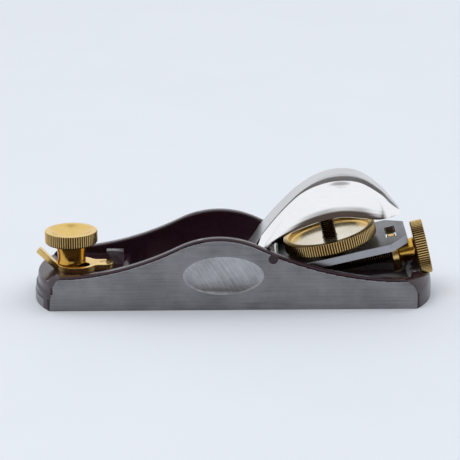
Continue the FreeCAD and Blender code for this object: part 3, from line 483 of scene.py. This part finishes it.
def cut_knurl(shape: Shape, radius: float, low: float, high: float, ridges: int, depth: float) -> None:
    """Press straight ridges into a rim; their crests keep the rim's radius.

    Args:
        shape: a turned shape with four columns to a ridge.
        radius: the rim's radius.
        low: lower end of the ridges.
        high: upper end of the ridges.
        ridges: number of ridges round the rim.
        depth: depth of the valleys.
    """
    for vert in shape.verts:
        reach = math.hypot(vert.co.x, vert.co.y)
        if reach < radius - 0.02 or not low - 0.01 < vert.co.z < high + 0.01:
            continue
        angle = math.atan2(vert.co.y, vert.co.x)
        sink = depth * (1 - math.cos(ridges * angle)) / 2
        vert.co.xy *= (reach - sink) / reach


def number_faces(shape: Shape, tests: Sequence[Test]) -> None:
    """Give each face the number of the first test that its middle passes, counted from 1."""
    for face in shape.faces:
        middle = face.calc_center_median()
        face.material_index = next((number for number, test in enumerate(tests, start=1) if test(middle)), 0)


def cut_thread(core: float, crest: float, pitch: float, length: float) -> Shape:
    """A rod with a helical thread from height 0 to its length.

    Args:
        core: radius at the bottom of the thread.
        crest: radius over the thread.
        pitch: rise in one turn.
        length: length of the rod.

    Returns:
        The threaded rod, closed at both ends.
    """
    turns = math.ceil(length / pitch) + 3
    section = [(core, 0.0), (crest, 0.40), (crest, 0.52), (core, 0.92), (core, 1.0)]
    shape = bmesh.new()
    points = [shape.verts.new((radius, 0.0, (share - 2) * pitch)) for radius, share in section]
    lines = [shape.edges.new(pair) for pair in zip(points, points[1:])]
    bmesh.ops.spin(shape, geom=points + lines, cent=(0, 0, 0), axis=(0, 0, 1),
                   dvec=(0, 0, pitch / THREAD_STEPS), angle=FULL_TURN * turns, steps=THREAD_STEPS * turns)
    bmesh.ops.remove_doubles(shape, verts=shape.verts, dist=MERGE)
    for height, direction in ((0.0, -1), (length, 1)):
        cut = bmesh.ops.bisect_plane(shape, geom=shape.verts[:] + shape.edges[:] + shape.faces[:],
                                     plane_co=(0, 0, height), plane_no=(0, 0, direction), clear_outer=True)
        rim = [item for item in cut["geom_cut"] if isinstance(item, bmesh.types.BMEdge)]
        bmesh.ops.edgeloop_fill(shape, edges=rim)
    bmesh.ops.recalc_face_normals(shape, faces=shape.faces)
    return shape


def install_rod(node: str, place: Matrix, thread: Pair, finish: str, body: str) -> None:
    """Put a threaded rod where a CAD node is.

    Args:
        node: the CAD node.
        place: a frame with its Z along the rod.
        thread: pitch and depth of the thread.
        finish: the material's name.
        body: the body that it rides on.
    """
    pitch, depth = thread
    low, high, radius = reach(node, place)
    place = lifted(place, low)
    piece = make_object(cut_thread(radius - depth, radius, pitch, high - low), node + "_threaded", place)
    # The rod takes the brass darkened with painted shade
    dress(piece, SHADED_BRASS.material(finish, place, (radius, depth)))
    install(piece, body, [node])


def on_rim(radius: float, depth: float, low: float, high: float) -> Test:
    """A test for the faces of a knurled rim, up to the small step at its top."""
    return lambda middle: middle.xy.length > radius - depth - 0.1 and low < middle.z < high - 0.2


def lifted(place: Matrix, height: float) -> Matrix:
    """A frame moved up its own Z by millimetres."""
    return place @ Matrix.Translation((0, 0, height * MM))


def copy_node(node: str) -> Shape:
    """A merged copy of a CAD node's mesh, in millimetres."""
    shape = bmesh.new()
    shape.from_mesh(frame["nodes"][node].data)
    shape.transform(Matrix.Scale(1 / MM, 4))
    bmesh.ops.remove_doubles(shape, verts=shape.verts, dist=0.002)
    shape.normal_update()
    return shape


def break_edges(shape: Shape, width: float, keep: Test) -> None:
    """Round the sharp edges of a shape.

    Args:
        shape: the shape, in millimetres.
        width: width of the rounding.
        keep: says of an edge's middle whether the edge stays sharp.
    """
    bmesh.ops.dissolve_limit(shape, angle_limit=math.radians(0.6), verts=shape.verts, edges=shape.edges)
    sharp = [edge for edge in shape.edges
             if len(edge.link_faces) == 2 and edge.calc_face_angle() > math.radians(32)
             and not keep((edge.verts[0].co + edge.verts[1].co) / 2)]
    bmesh.ops.bevel(shape, geom=sharp, offset=width, segments=3, profile=0.5, affect="EDGES",
                    clamp_overlap=True, material=-1)


def make_object(shape: Shape, name: str, place: Matrix = Matrix.Identity(4),
                crease: float = 34.0) -> Object:
    """Turn a shape in millimetres into a shaded object in the plane's frame.

    Args:
        shape: the shape; it is freed.
        name: the piece's name.
        place: the frame of the shape, in metres.
        crease: edges sharper than this many degrees stay crisp.

    Returns:
        The object, at the origin, with its place in its mesh.
    """
    shape.transform(place @ Matrix.Scale(MM, 4))
    mesh = bpy.data.meshes.new(name)
    shape.to_mesh(mesh)
    shape.free()
    mesh.shade_smooth()
    mesh.set_sharp_from_angle(angle=math.radians(crease))
    piece = bpy.data.objects.new(name, mesh)
    bpy.context.scene.collection.objects.link(piece)
    weighted = piece.modifiers.new("even_normals", "WEIGHTED_NORMAL")
    weighted.keep_sharp = True
    return piece


def install(piece: Object, body: str, nodes: Sequence[str] = ()) -> None:
    """Fix a piece to its body and let it stand for its CAD nodes."""
    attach(piece, body)
    if nodes:
        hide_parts(*nodes)
    log.info("%s: %d faces on %s", piece.name, len(piece.data.polygons), body)


def dress(piece: Object, *materials: Material) -> None:
    """Give a piece its materials, in the order of its faces' numbers."""
    if piece.data.materials:
        piece.data.materials.clear()
    for material in materials:
        piece.data.materials.append(material)


def joint_frame(name: str, reverse: bool = False) -> Matrix:
    """The frame of a turning joint.

    Args:
        name: the joint.
        reverse: whether Z runs against the joint's axis.

    Returns:
        A frame with its Z along the joint's axis and its Y across the plane.
    """
    joint = next(item for item in frame["joints"] if item["name"] == name)
    up = Vector(joint["axis"]) * (-1 if reverse else 1)
    side = Vector((0, 1, 0))
    ahead = side.cross(up).normalized()
    turn = Matrix((ahead, side, up)).transposed().to_4x4()
    return Matrix.Translation(joint["pos_m"]) @ turn


def reach(node: str, place: Matrix) -> tuple[float, float, float]:
    """How far a CAD node reaches in a frame.

    Args:
        node: the CAD node.
        place: the frame.

    Returns:
        Its lowest and highest points along Z and its largest radius round Z, in millimetres.
    """
    inverse = place.inverted()
    points = [(inverse @ vert.co) / MM for vert in frame["nodes"][node].data.vertices]
    heights = [point.z for point in points]
    return min(heights), max(heights), max(math.hypot(point.x, point.y) for point in points)


# ---- Casting ----

class Skin(Enum):
    """The surfaces of the casting, by material number."""

    ENAMEL = 0
    GROUND = 1
    DIMPLE = 2


@dataclass
class Casting:
    """The enamelled body with its ground sides, and the steel pieces fixed in it."""

    side: float = 22.5
    dimple_centre: Pair = (-4.0, 14.7)
    dimple_half: Pair = (17.6, 9.1)
    dimple_reach: float = 1.6
    square: float = 0.999
    on_bed: float = 0.9995
    rod_chamfer: float = 0.05
    pin_dome: float = 0.1
    thread: Pair = (0.9, 0.42)

    def skin_of(self, face: bmesh.types.BMFace) -> Skin:
        """Which surface a face belongs to."""
        middle, normal = face.calc_center_median(), face.normal
        if abs(normal.y) > self.square and abs(middle.y) > self.side - 0.02:
            return Skin.GROUND
        if normal.z < -self.square and middle.z < 0.05:
            return Skin.GROUND
        if normal.dot(Vector((-math.sin(BED_SLOPE), 0, math.cos(BED_SLOPE)))) > self.on_bed:
            return Skin.GROUND
        along = (middle.x - self.dimple_centre[0]) / self.dimple_half[0]
        above = (middle.z - self.dimple_centre[1]) / self.dimple_half[1]
        outward = abs(middle.y) > self.side - self.dimple_reach and normal.y * middle.y > 0
        if outward and along ** 2 + above ** 2 < 1:
            return Skin.DIMPLE
        return Skin.ENAMEL

    def body(self) -> None:
        """The casting itself."""
        shape = copy_node("body_casting")
        for face in shape.faces:
            face.material_index = self.skin_of(face).value
        piece = make_object(shape, "casting")
        dress(piece, Enamel(side=self.side).material("plum_enamel"), GROUND_SIDE.material("ground_side"),
              DIMPLE.material("dimple_steel"))
        install(piece, "casting", ["body_casting"])

    def cross_rod(self) -> None:
        """The steel rod that the lever cap hooks under."""
        low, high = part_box("cap_cross_rod")
        middle = (low + high) / 2
        radius = (high.z - low.z) / 2 / MM
        half = (high.y - low.y) / 2 / MM
        chamfer = self.rod_chamfer
        shape = turn_profile([(0, -half), (radius - chamfer, -half), (radius, -half + chamfer),
                              (radius, half - chamfer), (radius - chamfer, half), (0, half)], 48)
        number_faces(shape, (lambda middle: abs(middle.z) > half - 0.1,))
        place = Matrix.Translation(middle) @ Matrix.Rotation(math.pi / 2, 4, "X")
        piece = make_object(shape, "cross_rod", place)
        dress(piece, BRIGHT_STEEL.material("rod_steel", place),
              Enamel(side=2 * self.side).material("rod_enamel"))
        install(piece, "casting", ["cap_cross_rod"])

    def pivot_pin(self) -> None:
        """The domed pin that the mouth lever turns on."""
        place = joint_frame("lever_swing")
        low, high, radius = reach("lever_pivot_pin", place)
        dome = arc((radius, high - self.pin_dome), (0, high), 5.0, 6)
        shape = turn_profile([(0, low), (radius, low), *dome], 40)
        piece = make_object(shape, "pivot_pin", place)
        dress(piece, BRASS.material("pin_brass", place))
        install(piece, "casting", ["lever_pivot_pin"])

    def stud(self) -> None:
        """The fine-threaded stud of the adjuster."""
        install_rod("adjuster_stud", joint_frame("adjuster_spin", reverse=True), self.thread, "stud_brass",
                    "casting")

    def build(self) -> None:
        """Make every piece that is fixed in the casting."""
        self.body()
        self.cross_rod()
        self.pivot_pin()
        self.stud()


# ---- Toe group ----

@dataclass
class ToeGroup:
    """The knob that locks the toe plate, and the lever that sets the mouth."""

    rim: float = 5.3
    chamfer: float = 0.5
    lip: float = 1.6
    dish: float = 3.6
    bore: float = 3.06
    bore_depth: float = 7.8
    foot: float = 6.0
    waist: float = 5.75
    shoulder: float = 7.15
    ridges: int = 68
    ridge_depth: float = 0.42
    lever_edge: float = 0.45

    def knob(self) -> None:
        """The turned knob: a waisted neck under a knurled rim round a dish."""
        place = joint_frame("knob_spin")
        low, high, radius = reach("toe_knob", place)
        height = high - low
        under = height - self.rim
        inner = radius - self.chamfer - self.lip
        neck = arc((self.waist, 1.6), (self.shoulder, under - 0.3), -14.0, 12)
        bowl = arc((inner, height - 0.1), (1.0, height - self.dish + 0.1), -26.0, 14)
        profile = [
            (self.bore, 0), (self.foot - 0.2, 0), (self.foot, 0.2), (self.foot, 0.7), *neck,
            (self.shoulder + 0.3, under), (radius - self.chamfer, under), (radius, under + self.chamfer),
            (radius, height - self.chamfer), (radius - RIM_STEP, height - RIM_STEP),
            (radius - self.chamfer, height),
            (inner + 0.25, height), *bowl, (0, height - self.dish), (0, self.bore_depth),
            (self.bore, self.bore_depth)]
        shape = turn_profile(profile, 4 * self.ridges)
        cut_knurl(shape, radius, under + self.chamfer, height - self.chamfer, self.ridges,
                  self.ridge_depth)
        number_faces(shape, (
            on_rim(radius, self.ridge_depth, under, height), lambda middle: middle.z < under + 0.1))
        place = lifted(place, low)
        piece = make_object(shape, "knob", place)
        dress(piece, BRASS.material("knob_brass", place),
              KNURLED_BRASS.material("knob_knurl", place, (radius, self.ridge_depth)),
              GOLD_BRASS.material("knob_neck", place))
        install(piece, "toe_knob", ["toe_knob"])

    def lever(self) -> None:
        """The mouth lever, its edges rolled over by polishing."""
        shape = copy_node("mouth_lever")
        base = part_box("mouth_lever")[0].z / MM
        eye = joint_frame("lever_swing").to_translation() / MM
        break_edges(shape, self.lever_edge,
                    lambda middle: middle.z < base + 2.2 or (middle.xy - eye.xy).length < 2.5)
        piece = make_object(shape, "lever", crease=50.0)
        dress(piece, BRASS.material("lever_brass", joint_frame("lever_swing")))
        install(piece, "mouth_lever", ["mouth_lever"])

    def hidden_pieces(self) -> None:
        """The toe plate and the knob's stud, which the casting covers."""
        plate = GROUND_SIDE.material("toe_plate_iron")
        stud = SHADED_BRASS.material("knob_stud_brass", joint_frame("knob_spin"))
        for node, material in (("toe_plate", plate), ("toe_knob_stud", stud)):
            dress(frame["nodes"][node], material)

    def build(self) -> None:
        """Make the toe group."""
        self.knob()
        self.lever()
        self.hidden_pieces()


# ---- Iron and adjuster ----

@dataclass
class IronGroup:
    """The cutting iron and the brass nut that moves it."""

    edge: float = 0.18
    keen: float = 2.0
    chamfer: float = 0.5
    collar: Pair = (8.1, 3.4)
    neck: Pair = (4.6, 6.9)
    bore: float = 3.06
    bore_depth: float = 13.5
    ridges: int = 68
    ridge_depth: float = 0.42

    def iron(self) -> None:
        """The iron, sharp at its bevel and lightly broken elsewhere."""
        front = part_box("iron")[0].x / MM + self.keen
        shape = copy_node("iron")
        break_edges(shape, self.edge, lambda middle: middle.x < front)
        slope = Matrix.Rotation(-BED_SLOPE, 4, "Y") @ Matrix.Rotation(math.pi / 2, 4, "Z")
        up = slope.to_3x3().col[2]
        shape.normal_update()
        # Faces that point up take the darker copy (painted dark reflection); the rest take the lighter copy
        # (painted pale reflection)
        for face in shape.faces:
            face.material_index = int(face.normal.dot(up) > 0.98)
        piece = make_object(shape, "cutting_iron")
        dress(piece, PALE_REFLECTION_IRON.material("iron_edge_pale_reflection", slope),
              DARK_REFLECTION_IRON.material("iron_face_dark_reflection", slope))
        install(piece, "iron", ["iron"])

    def nut(self) -> None:
        """Collar, polished neck and knurled wheel in one turned piece."""
        place = joint_frame("adjuster_spin", reverse=True)
        low, high, radius = reach("adjuster_nut", place)
        collar, thick = self.collar
        neck, length = self.neck
        chamfer = self.chamfer
        face = thick + length
        back = high - low
        profile = [
            (self.bore, 0), (collar - chamfer, 0), (collar, chamfer), (collar, thick - chamfer),
            (collar - chamfer, thick), (neck + 0.3, thick), (neck, thick + 0.3), (neck, face - 0.8),
            *arc((neck, face - 0.8), (neck + 0.8, face), -0.8, 5)[1:],
            (radius - chamfer, face), (radius, face + chamfer), (radius, back - chamfer),
            (radius - RIM_STEP, back - RIM_STEP), (radius - chamfer, back), (radius - 2.2, back),
            (radius - 2.8, back - 0.5), (0, back - 0.5), (0, self.bore_depth), (self.bore, self.bore_depth)]
        shape = turn_profile(profile, 4 * self.ridges)
        cut_knurl(shape, radius, face + chamfer, back - chamfer, self.ridges, self.ridge_depth)
        number_faces(shape, (
            on_rim(radius, self.ridge_depth, face, back),
            lambda middle: middle.xy.length < radius - 1 and thick < middle.z < face))
        place = lifted(place, low)
        piece = make_object(shape, "adjuster", place)
        dress(piece, BRASS.material("adjuster_brass", place),
              KNURLED_BRASS.material("adjuster_knurl", place, (radius, self.ridge_depth)),
              GOLD_BRASS.material("adjuster_neck", place))
        install(piece, "adjuster_nut", ["adjuster_nut"])

    def build(self) -> None:
        """Make the iron group."""
        self.iron()
        self.nut()


# ---- Lever cap and clamp ----

def ease(points: Sequence[Vector], index: int, step: float) -> Vector:
    """A point on a smooth line through points.

    Args:
        points: what the line runs through.
        index: the point that starts the span.
        step: share of the way to the next point.

    Returns:
        The point between.
    """
    last = len(points) - 1
    before, start, end, after = (points[max(0, min(last, index + offset))] for offset in (-1, 0, 1, 2))
    leave, arrive = (end - before) / 2, (after - start) / 2
    square, cube = step ** 2, step ** 3
    return (start * (2 * cube - 3 * square + 1) + leave * (cube - 2 * square + step)
            + end * (3 * square - 2 * cube) + arrive * (cube - square))


@dataclass(frozen=True)
class Station:
    """One cross section of the lever cap: its place, crown, rounded shoulder and skirt."""

    x: float
    top: float
    crown: float
    shoulder: float
    skirt: float
    low: float

    def values(self) -> Vector:
        """The station as one vector."""
        return Vector((self.x, self.top, self.crown, self.shoulder, self.skirt, self.low))


@dataclass
class LeverCap:
    """The domed cap: a satin crown between mirror flanks, hollow underneath."""

    stations: tuple[Station, ...] = (
        Station(-14.0, 10.5, 14.0, 0.1, 16.0, 8.15), Station(-4.0, 13.5, 11.6, 0.2, 15.5, 10.8),
        Station(4.0, 18.0, 10.0, 0.2, 15.5, 13.4), Station(8.0, 22.9, 8.8, 0.3, 15.5, 16.6),
        Station(12.2, 29.2, 7.8, 0.4, 15.5, 23.9), Station(20.0, 38.4, 6.6, 0.7, 15.5, 29.5),
        Station(28.0, 46.0, 5.3, 1.2, 15.5, 32.95), Station(36.0, 50.9, 4.4, 2.3, 15.5, 35.6),
        Station(44.3, 52.8, 4.1, 2.7, 15.5, 37.3), Station(52.6, 51.5, 3.9, 2.5, 15.0, 36.8),
        Station(60.9, 45.8, 3.2, 2.0, 13.2, 35.85), Station(65.1, 41.1, 2.6, 1.4, 9.6, 35.5),
        Station(67.8, 38.0, 2.1, 0.7, 6.8, 35.55), Station(68.9, 36.4, 1.5, 0.2, 4.6, 35.5))
    columns: int = 150
    rows: int = 96
    crown_share: float = 0.3
    flat_share: float = 0.5
    round_share: float = 0.8
    shoulder_turn: float = math.radians(72)
    bow: float = 80.0
    flank: tuple[Pair, ...] = (
        (0.0, 0.0), (0.12, 0.03), (0.3, 0.062), (0.5, 0.072), (0.7, 0.06), (0.85, 0.035), (0.95, 0.01),
        (1.0, -0.006))
    wall: float = 2.5
    edge: float = 0.22
    boss_radius: float = 6.25
    boss_bore: float = 3.06
    boss_low: float = 15.13
    boss_high: float = 25.6
    tip_taper: float = 12.0
    tip_wall: float = 0.06
    hook_half: float = 7.2
    hook_gap: float = 0.12
    hook_root: Pair = (11.0, 4.6)
    hook_nose: Pair = (0.5, 2.0)
    hook_back: Pair = (0.4, 5.0)
    hook_lean: float = 6.3
    hook_round: float = 0.3

    def at(self, share: float) -> Vector:
        """The cross section at a share of the way from lip to tip."""
        position = share * (len(self.stations) - 1)
        index = min(int(position), len(self.stations) - 2)
        return ease([station.values() for station in self.stations], index, position - index)

    def flank_offset(self, share: float) -> float:
        """How far a flank stands off its chord, in chords: a long bulge, drawn in at the foot."""
        places = [place for place, offset in self.flank]
        index = max(number for number in range(len(places) - 1) if places[number] <= share)
        step = (share - places[index]) / (places[index + 1] - places[index])
        return ease([Vector(pair) for pair in self.flank], index, step).y

    def crown_point(self, share: float, crown: float, shoulder: float) -> Pair:
        """A point of the satin crown: nearly flat, then rounded over, then steep down to its edge.

        Args:
            share: 0 on the ridge and 1 at the edge.
            crown: half width of the nearly flat part.
            shoulder: height of the rounded and steep part.

        Returns:
            How far the point stands out from the ridge and how far below it.
        """
        flat, end = self.flat_share, self.round_share
        out = crown * min(1.0, share / flat)
        down = out ** 2 / self.bow
        radius = shoulder / 2
        turn = self.shoulder_turn * min(1.0, max(0.0, share - flat) / (end - flat))
        steep = (shoulder - radius * (1 - math.cos(self.shoulder_turn))) * max(0.0, share - end) / (1 - end)
        return (out + radius * math.sin(turn) + steep / math.tan(self.shoulder_turn),
                down + radius * (1 - math.cos(turn)) + steep)

    def surface(self, along: float, across: float) -> Vector:
        """A point of the outer surface.

        Args:
            along: 0 at the lip and 1 at the tip.
            across: -1 and 1 at the skirts' lower edges, 0 on the ridge of the crown.

        Returns:
            The point, in millimetres in the plane's frame.
        """
        x, top, crown, shoulder, skirt, low = self.at(along)
        out, down = self.crown_point(min(1.0, abs(across) / self.crown_share), crown, shoulder)
        if abs(across) <= self.crown_share:
            return Vector((x, math.copysign(out, across), top - down))
        edge, foot = Vector((out, top - down)), Vector((skirt, low))
        down = (abs(across) - self.crown_share) / (1 - self.crown_share)
        chord = foot - edge
        outward = Vector((-chord.y, chord.x)).normalized()
        point = edge + chord * down + outward * self.flank_offset(down) * chord.length
        return Vector((x, math.copysign(point.x, across), point.y))

    def shell(self) -> None:
        """The shell: a grid laid on the outer surface, given its wall and crisp edges."""
        shape = bmesh.new()
        bmesh.ops.create_grid(shape, x_segments=self.columns, y_segments=self.rows, size=1.0)
        for face in shape.faces:
            face.material_index = int(abs(face.calc_center_median().y) < self.crown_share)
        for vert in shape.verts:
            across = self.snap(vert.co.y)
            vert.co = self.surface((vert.co.x + 1) / 2, across)
        bmesh.ops.recalc_face_normals(shape, faces=shape.faces)
        if sum(face.normal.z for face in shape.faces) < 0:
            bmesh.ops.reverse_faces(shape, faces=shape.faces)
        piece = make_object(shape, "cap", crease=25.0)
        group = piece.vertex_groups.new(name="wall")
        for vert in piece.data.vertices:
            near_tip = (self.stations[-1].x - vert.co.x / MM) / self.tip_taper
            group.add([vert.index], max(self.tip_wall, min(1.0, near_tip)), "REPLACE")
        solid = piece.modifiers.new("wall", "SOLIDIFY")
        solid.thickness = self.wall * MM
        solid.offset = -1.0
        solid.vertex_group = "wall"
        solid.material_offset = 2
        rounded = piece.modifiers.new("edges", "BEVEL")
        rounded.width = self.edge * MM
        rounded.segments = 2
        rounded.limit_method = "ANGLE"
        rounded.angle_limit = math.radians(45)
        rough = CAST_NICKEL.material("cap_inside")
        dress(piece, NICKEL.material("mirror_nickel"), SATIN_NICKEL.material("satin_nickel"), rough, rough)
        install(piece, "lever_cap", ["lever_cap"])

    def snap(self, across: float) -> float:
        """Move the grid line nearest the crown's edge onto it."""
        if abs(abs(across) - self.crown_share) < 1 / self.rows:
            return math.copysign(self.crown_share, across)
        return across

    def boss(self) -> None:
        """The bored boss that the clamp screw turns in."""
        place = joint_frame("wheel_spin")
        radius, low, high = self.boss_radius, self.boss_low, self.boss_high
        shape = turn_profile([
            (self.boss_bore, low + 0.4), (self.boss_bore + 0.4, low), (radius - 0.5, low),
            (radius, low + 0.5), (radius, high), (self.boss_bore, high)], 64)
        piece = make_object(shape, "cap_boss", place)
        dress(piece, CAST_NICKEL.material("boss_nickel", place))
        install(piece, "lever_cap")

    def hook(self) -> None:
        """The hook inside the cap that catches under the cross rod."""
        low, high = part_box("cap_cross_rod")
        rod = (low + high) / 2 / MM
        radius = (high.z - low.z) / 2 / MM
        seat = rod.z - radius - self.hook_gap
        nose, back = rod.x + radius + self.hook_nose[0], rod.x - radius - self.hook_back[0]
        outline = [(rod.x - self.hook_root[0], seat - self.hook_root[1]), (nose, seat - self.hook_nose[1]),
                   (nose, seat), (back, seat), (back, seat + self.hook_back[1]),
                   (rod.x - self.hook_lean, seat + self.hook_back[1])]
        shape = bmesh.new()
        face = shape.faces.new([shape.verts.new((x, -self.hook_half, z)) for x, z in outline])
        pulled = bmesh.ops.extrude_face_region(shape, geom=[face])
        moved = [item for item in pulled["geom"] if isinstance(item, bmesh.types.BMVert)]
        bmesh.ops.translate(shape, verts=moved, vec=(0, 2 * self.hook_half, 0))
        bmesh.ops.recalc_face_normals(shape, faces=shape.faces)
        bmesh.ops.bevel(shape, geom=shape.edges[:], offset=self.hook_round, segments=2, profile=0.5,
                        affect="EDGES", material=-1)
        piece = make_object(shape, "cap_hook")
        dress(piece, CAST_NICKEL.material("hook_nickel"))
        install(piece, "lever_cap")

    def build(self) -> None:
        """Make the cap."""
        self.shell()
        self.boss()
        self.hook()


@dataclass
class Clamp:
    """The big knurled wheel under the cap and its screw."""

    chamfer: float = 0.5
    lip: float = 2.3
    dish: float = 2.6
    foot: float = 6.0
    nose: float = 2.5
    bore: float = 3.06
    rim: float = 5.1
    ridges: int = 112
    ridge_depth: float = 0.45
    thread: Pair = (0.85, 0.48)

    def wheel(self) -> None:
        """The wheel, dished on top and footed below."""
        place = joint_frame("wheel_spin")
        low, high, radius = reach("clamp_wheel", place)
        top = high - low
        under = top - self.rim
        floor = top - self.dish
        inner = radius - self.lip
        chamfer = self.chamfer
        profile = [
            (0, 0), (self.nose, 0), (self.foot, 0.8), (self.foot, under), (radius - chamfer, under),
            (radius, under + chamfer), (radius, top - chamfer), (radius - RIM_STEP, top - RIM_STEP),
            (radius - chamfer, top), (inner + 0.15, top), (inner, top - 0.15), (inner - 0.3, floor + 0.4),
            (inner - 0.7, floor), (self.bore + 0.3, floor), (self.bore, floor - 0.3),
            (self.bore, under + 0.6), (0, under + 0.6)]
        shape = turn_profile(profile, 4 * self.ridges)
        cut_knurl(shape, radius, under + chamfer, top - chamfer, self.ridges, self.ridge_depth)
        number_faces(shape, (
            lambda middle: abs(middle.z - floor) < 0.1 and middle.xy.length < inner,
            on_rim(radius, self.ridge_depth, under, top)))
        place = lifted(place, low)
        piece = make_object(shape, "wheel", place)
        # The dish floor gets the pale cream brass, a painted reflection
        dress(piece, BRASS.material("wheel_brass", place), CREAM_REFLECTION_BRASS.material("dish_painted_reflection", place),
              KNURLED_BRASS.material("wheel_knurl", place, (radius, self.ridge_depth)))
        install(piece, "clamp_wheel", ["clamp_wheel"])

    def screw(self) -> None:
        """The threaded screw between wheel and boss."""
        install_rod("clamp_screw", joint_frame("wheel_spin"), self.thread, "screw_brass",
                    "clamp_screw")

    def build(self) -> None:
        """Make the clamp."""
        self.wheel()
        self.screw()


# ---- Studio ----

@dataclass
class Studio:
    """The camera, the pale floor and the soft light."""

    target: Vector = Vector((-1.11, 0.0, 27.39))
    distance: float = 919.3
    elevation: float = math.radians(17.0)
    yaw: float = math.radians(0.391)
    roll: float = math.radians(0.294)
    lens: float = 173.2
    background: Colour = (0.83, 0.865, 0.93)
    room: Colour = (0.085, 0.062, 0.052)
    flag: Vector = Vector((0.0, 0.05, 1.0))
    flag_reach: float = math.radians(15)
    flag_depth: float = 0.6

    def camera(self) -> None:
        """Look down at the near side with a long lens."""
        back = Vector((-math.sin(self.yaw) * math.cos(self.elevation),
                       -math.cos(self.yaw) * math.cos(self.elevation), math.sin(self.elevation)))
        right = Vector((0, 0, 1)).cross(back).normalized()
        up = back.cross(right)
        tilt = Matrix.Rotation(-self.roll, 4, back)
        axes = Matrix((tilt @ right, tilt @ up, back)).transposed().to_4x4()
        data = bpy.data.cameras.new("camera")
        data.lens = self.lens
        data.sensor_width = 36
        data.clip_start, data.clip_end = 0.01, 20
        camera = bpy.data.objects.new("camera", data)
        camera.matrix_world = Matrix.Translation((self.target + back * self.distance) * MM) @ axes
        bpy.context.scene.collection.objects.link(camera)
        bpy.context.scene.camera = camera

    def floor(self) -> None:
        """A wide sheet of pale paper."""
        shape = bmesh.new()
        bmesh.ops.create_grid(shape, x_segments=2, y_segments=2, size=4000)
        floor = make_object(shape, "floor")
        dress(floor, Paper().material("paper"))

    def lamp(self, name: str, place: Vector, size: float, power: float, tint: Colour) -> None:
        """One soft square lamp that faces the plane."""
        data = bpy.data.lights.new(name, "AREA")
        data.size = size
        data.energy = power
        data.color = tint
        lamp = bpy.data.objects.new(name, data)
        lamp.visible_glossy = False
        lamp.location = place
        lamp.rotation_euler = place.to_track_quat("Z", "Y").to_euler()
        bpy.context.scene.collection.objects.link(lamp)

    def world(self) -> None:
        """A tent that is bright behind and above, over a dark room in front, which the metal reflects."""
        world = bpy.data.worlds.new("studio")
        bpy.context.scene.world = world
        world.use_nodes = True
        world.node_tree.nodes.clear()
        graph = Graph(world.node_tree)
        way = graph.node("TexCoord").outputs["Generated"]
        parts = graph.node("SeparateXYZ", {0: way})
        behind, height = parts.outputs[1], parts.outputs[2]
        tent = graph.span(height, 0.50, 0.68, 0.0, 1.0)
        wall = graph.span(behind, -0.35, 0.25, 0.0, 1.0)
        level = graph.math("MAXIMUM", tent, wall)
        toward = graph.measure("DOT_PRODUCT", way, self.flag.normalized())
        outer, inner = math.cos(self.flag_reach), math.cos(self.flag_reach / 3)
        flag = graph.span(toward, outer, inner, 0.0, self.flag_depth)
        level = graph.math("SUBTRACT", level, flag, clamp=True)
        lit = graph.blend(level, self.room, (0.96, 0.98, 1.0))
        seen = graph.node("LightPath").outputs["Is Camera Ray"]
        colour = graph.blend(seen, lit, self.background)
        backdrop = graph.node("Background", {"Color": colour, "Strength": 1.0})
        graph.node("OutputWorld", {"Surface": backdrop.outputs[0]})

    def build(self) -> None:
        """Set up the studio."""
        bpy.context.scene.view_settings.view_transform = "Standard"
        self.camera()
        self.floor()
        self.lamp("key", Vector((-0.7, -0.5, 1.5)), 0.9, 5.0, (1.0, 0.99, 0.97))
        self.lamp("fill", Vector((1.0, 0.6, 1.4)), 0.9, 3.0, (0.97, 0.98, 1.0))
        self.world()


def main() -> None:
    """Build the plane piece by piece, then the studio, and note the sizes."""
    logging.basicConfig(level=logging.INFO, format="%(message)s")
    for assembly in (Casting(), ToeGroup(), IronGroup(), LeverCap(), Clamp(), Studio()):
        assembly.build()
        log.info("%s done", type(assembly).__name__)


if __name__ == "__main__":
    main()
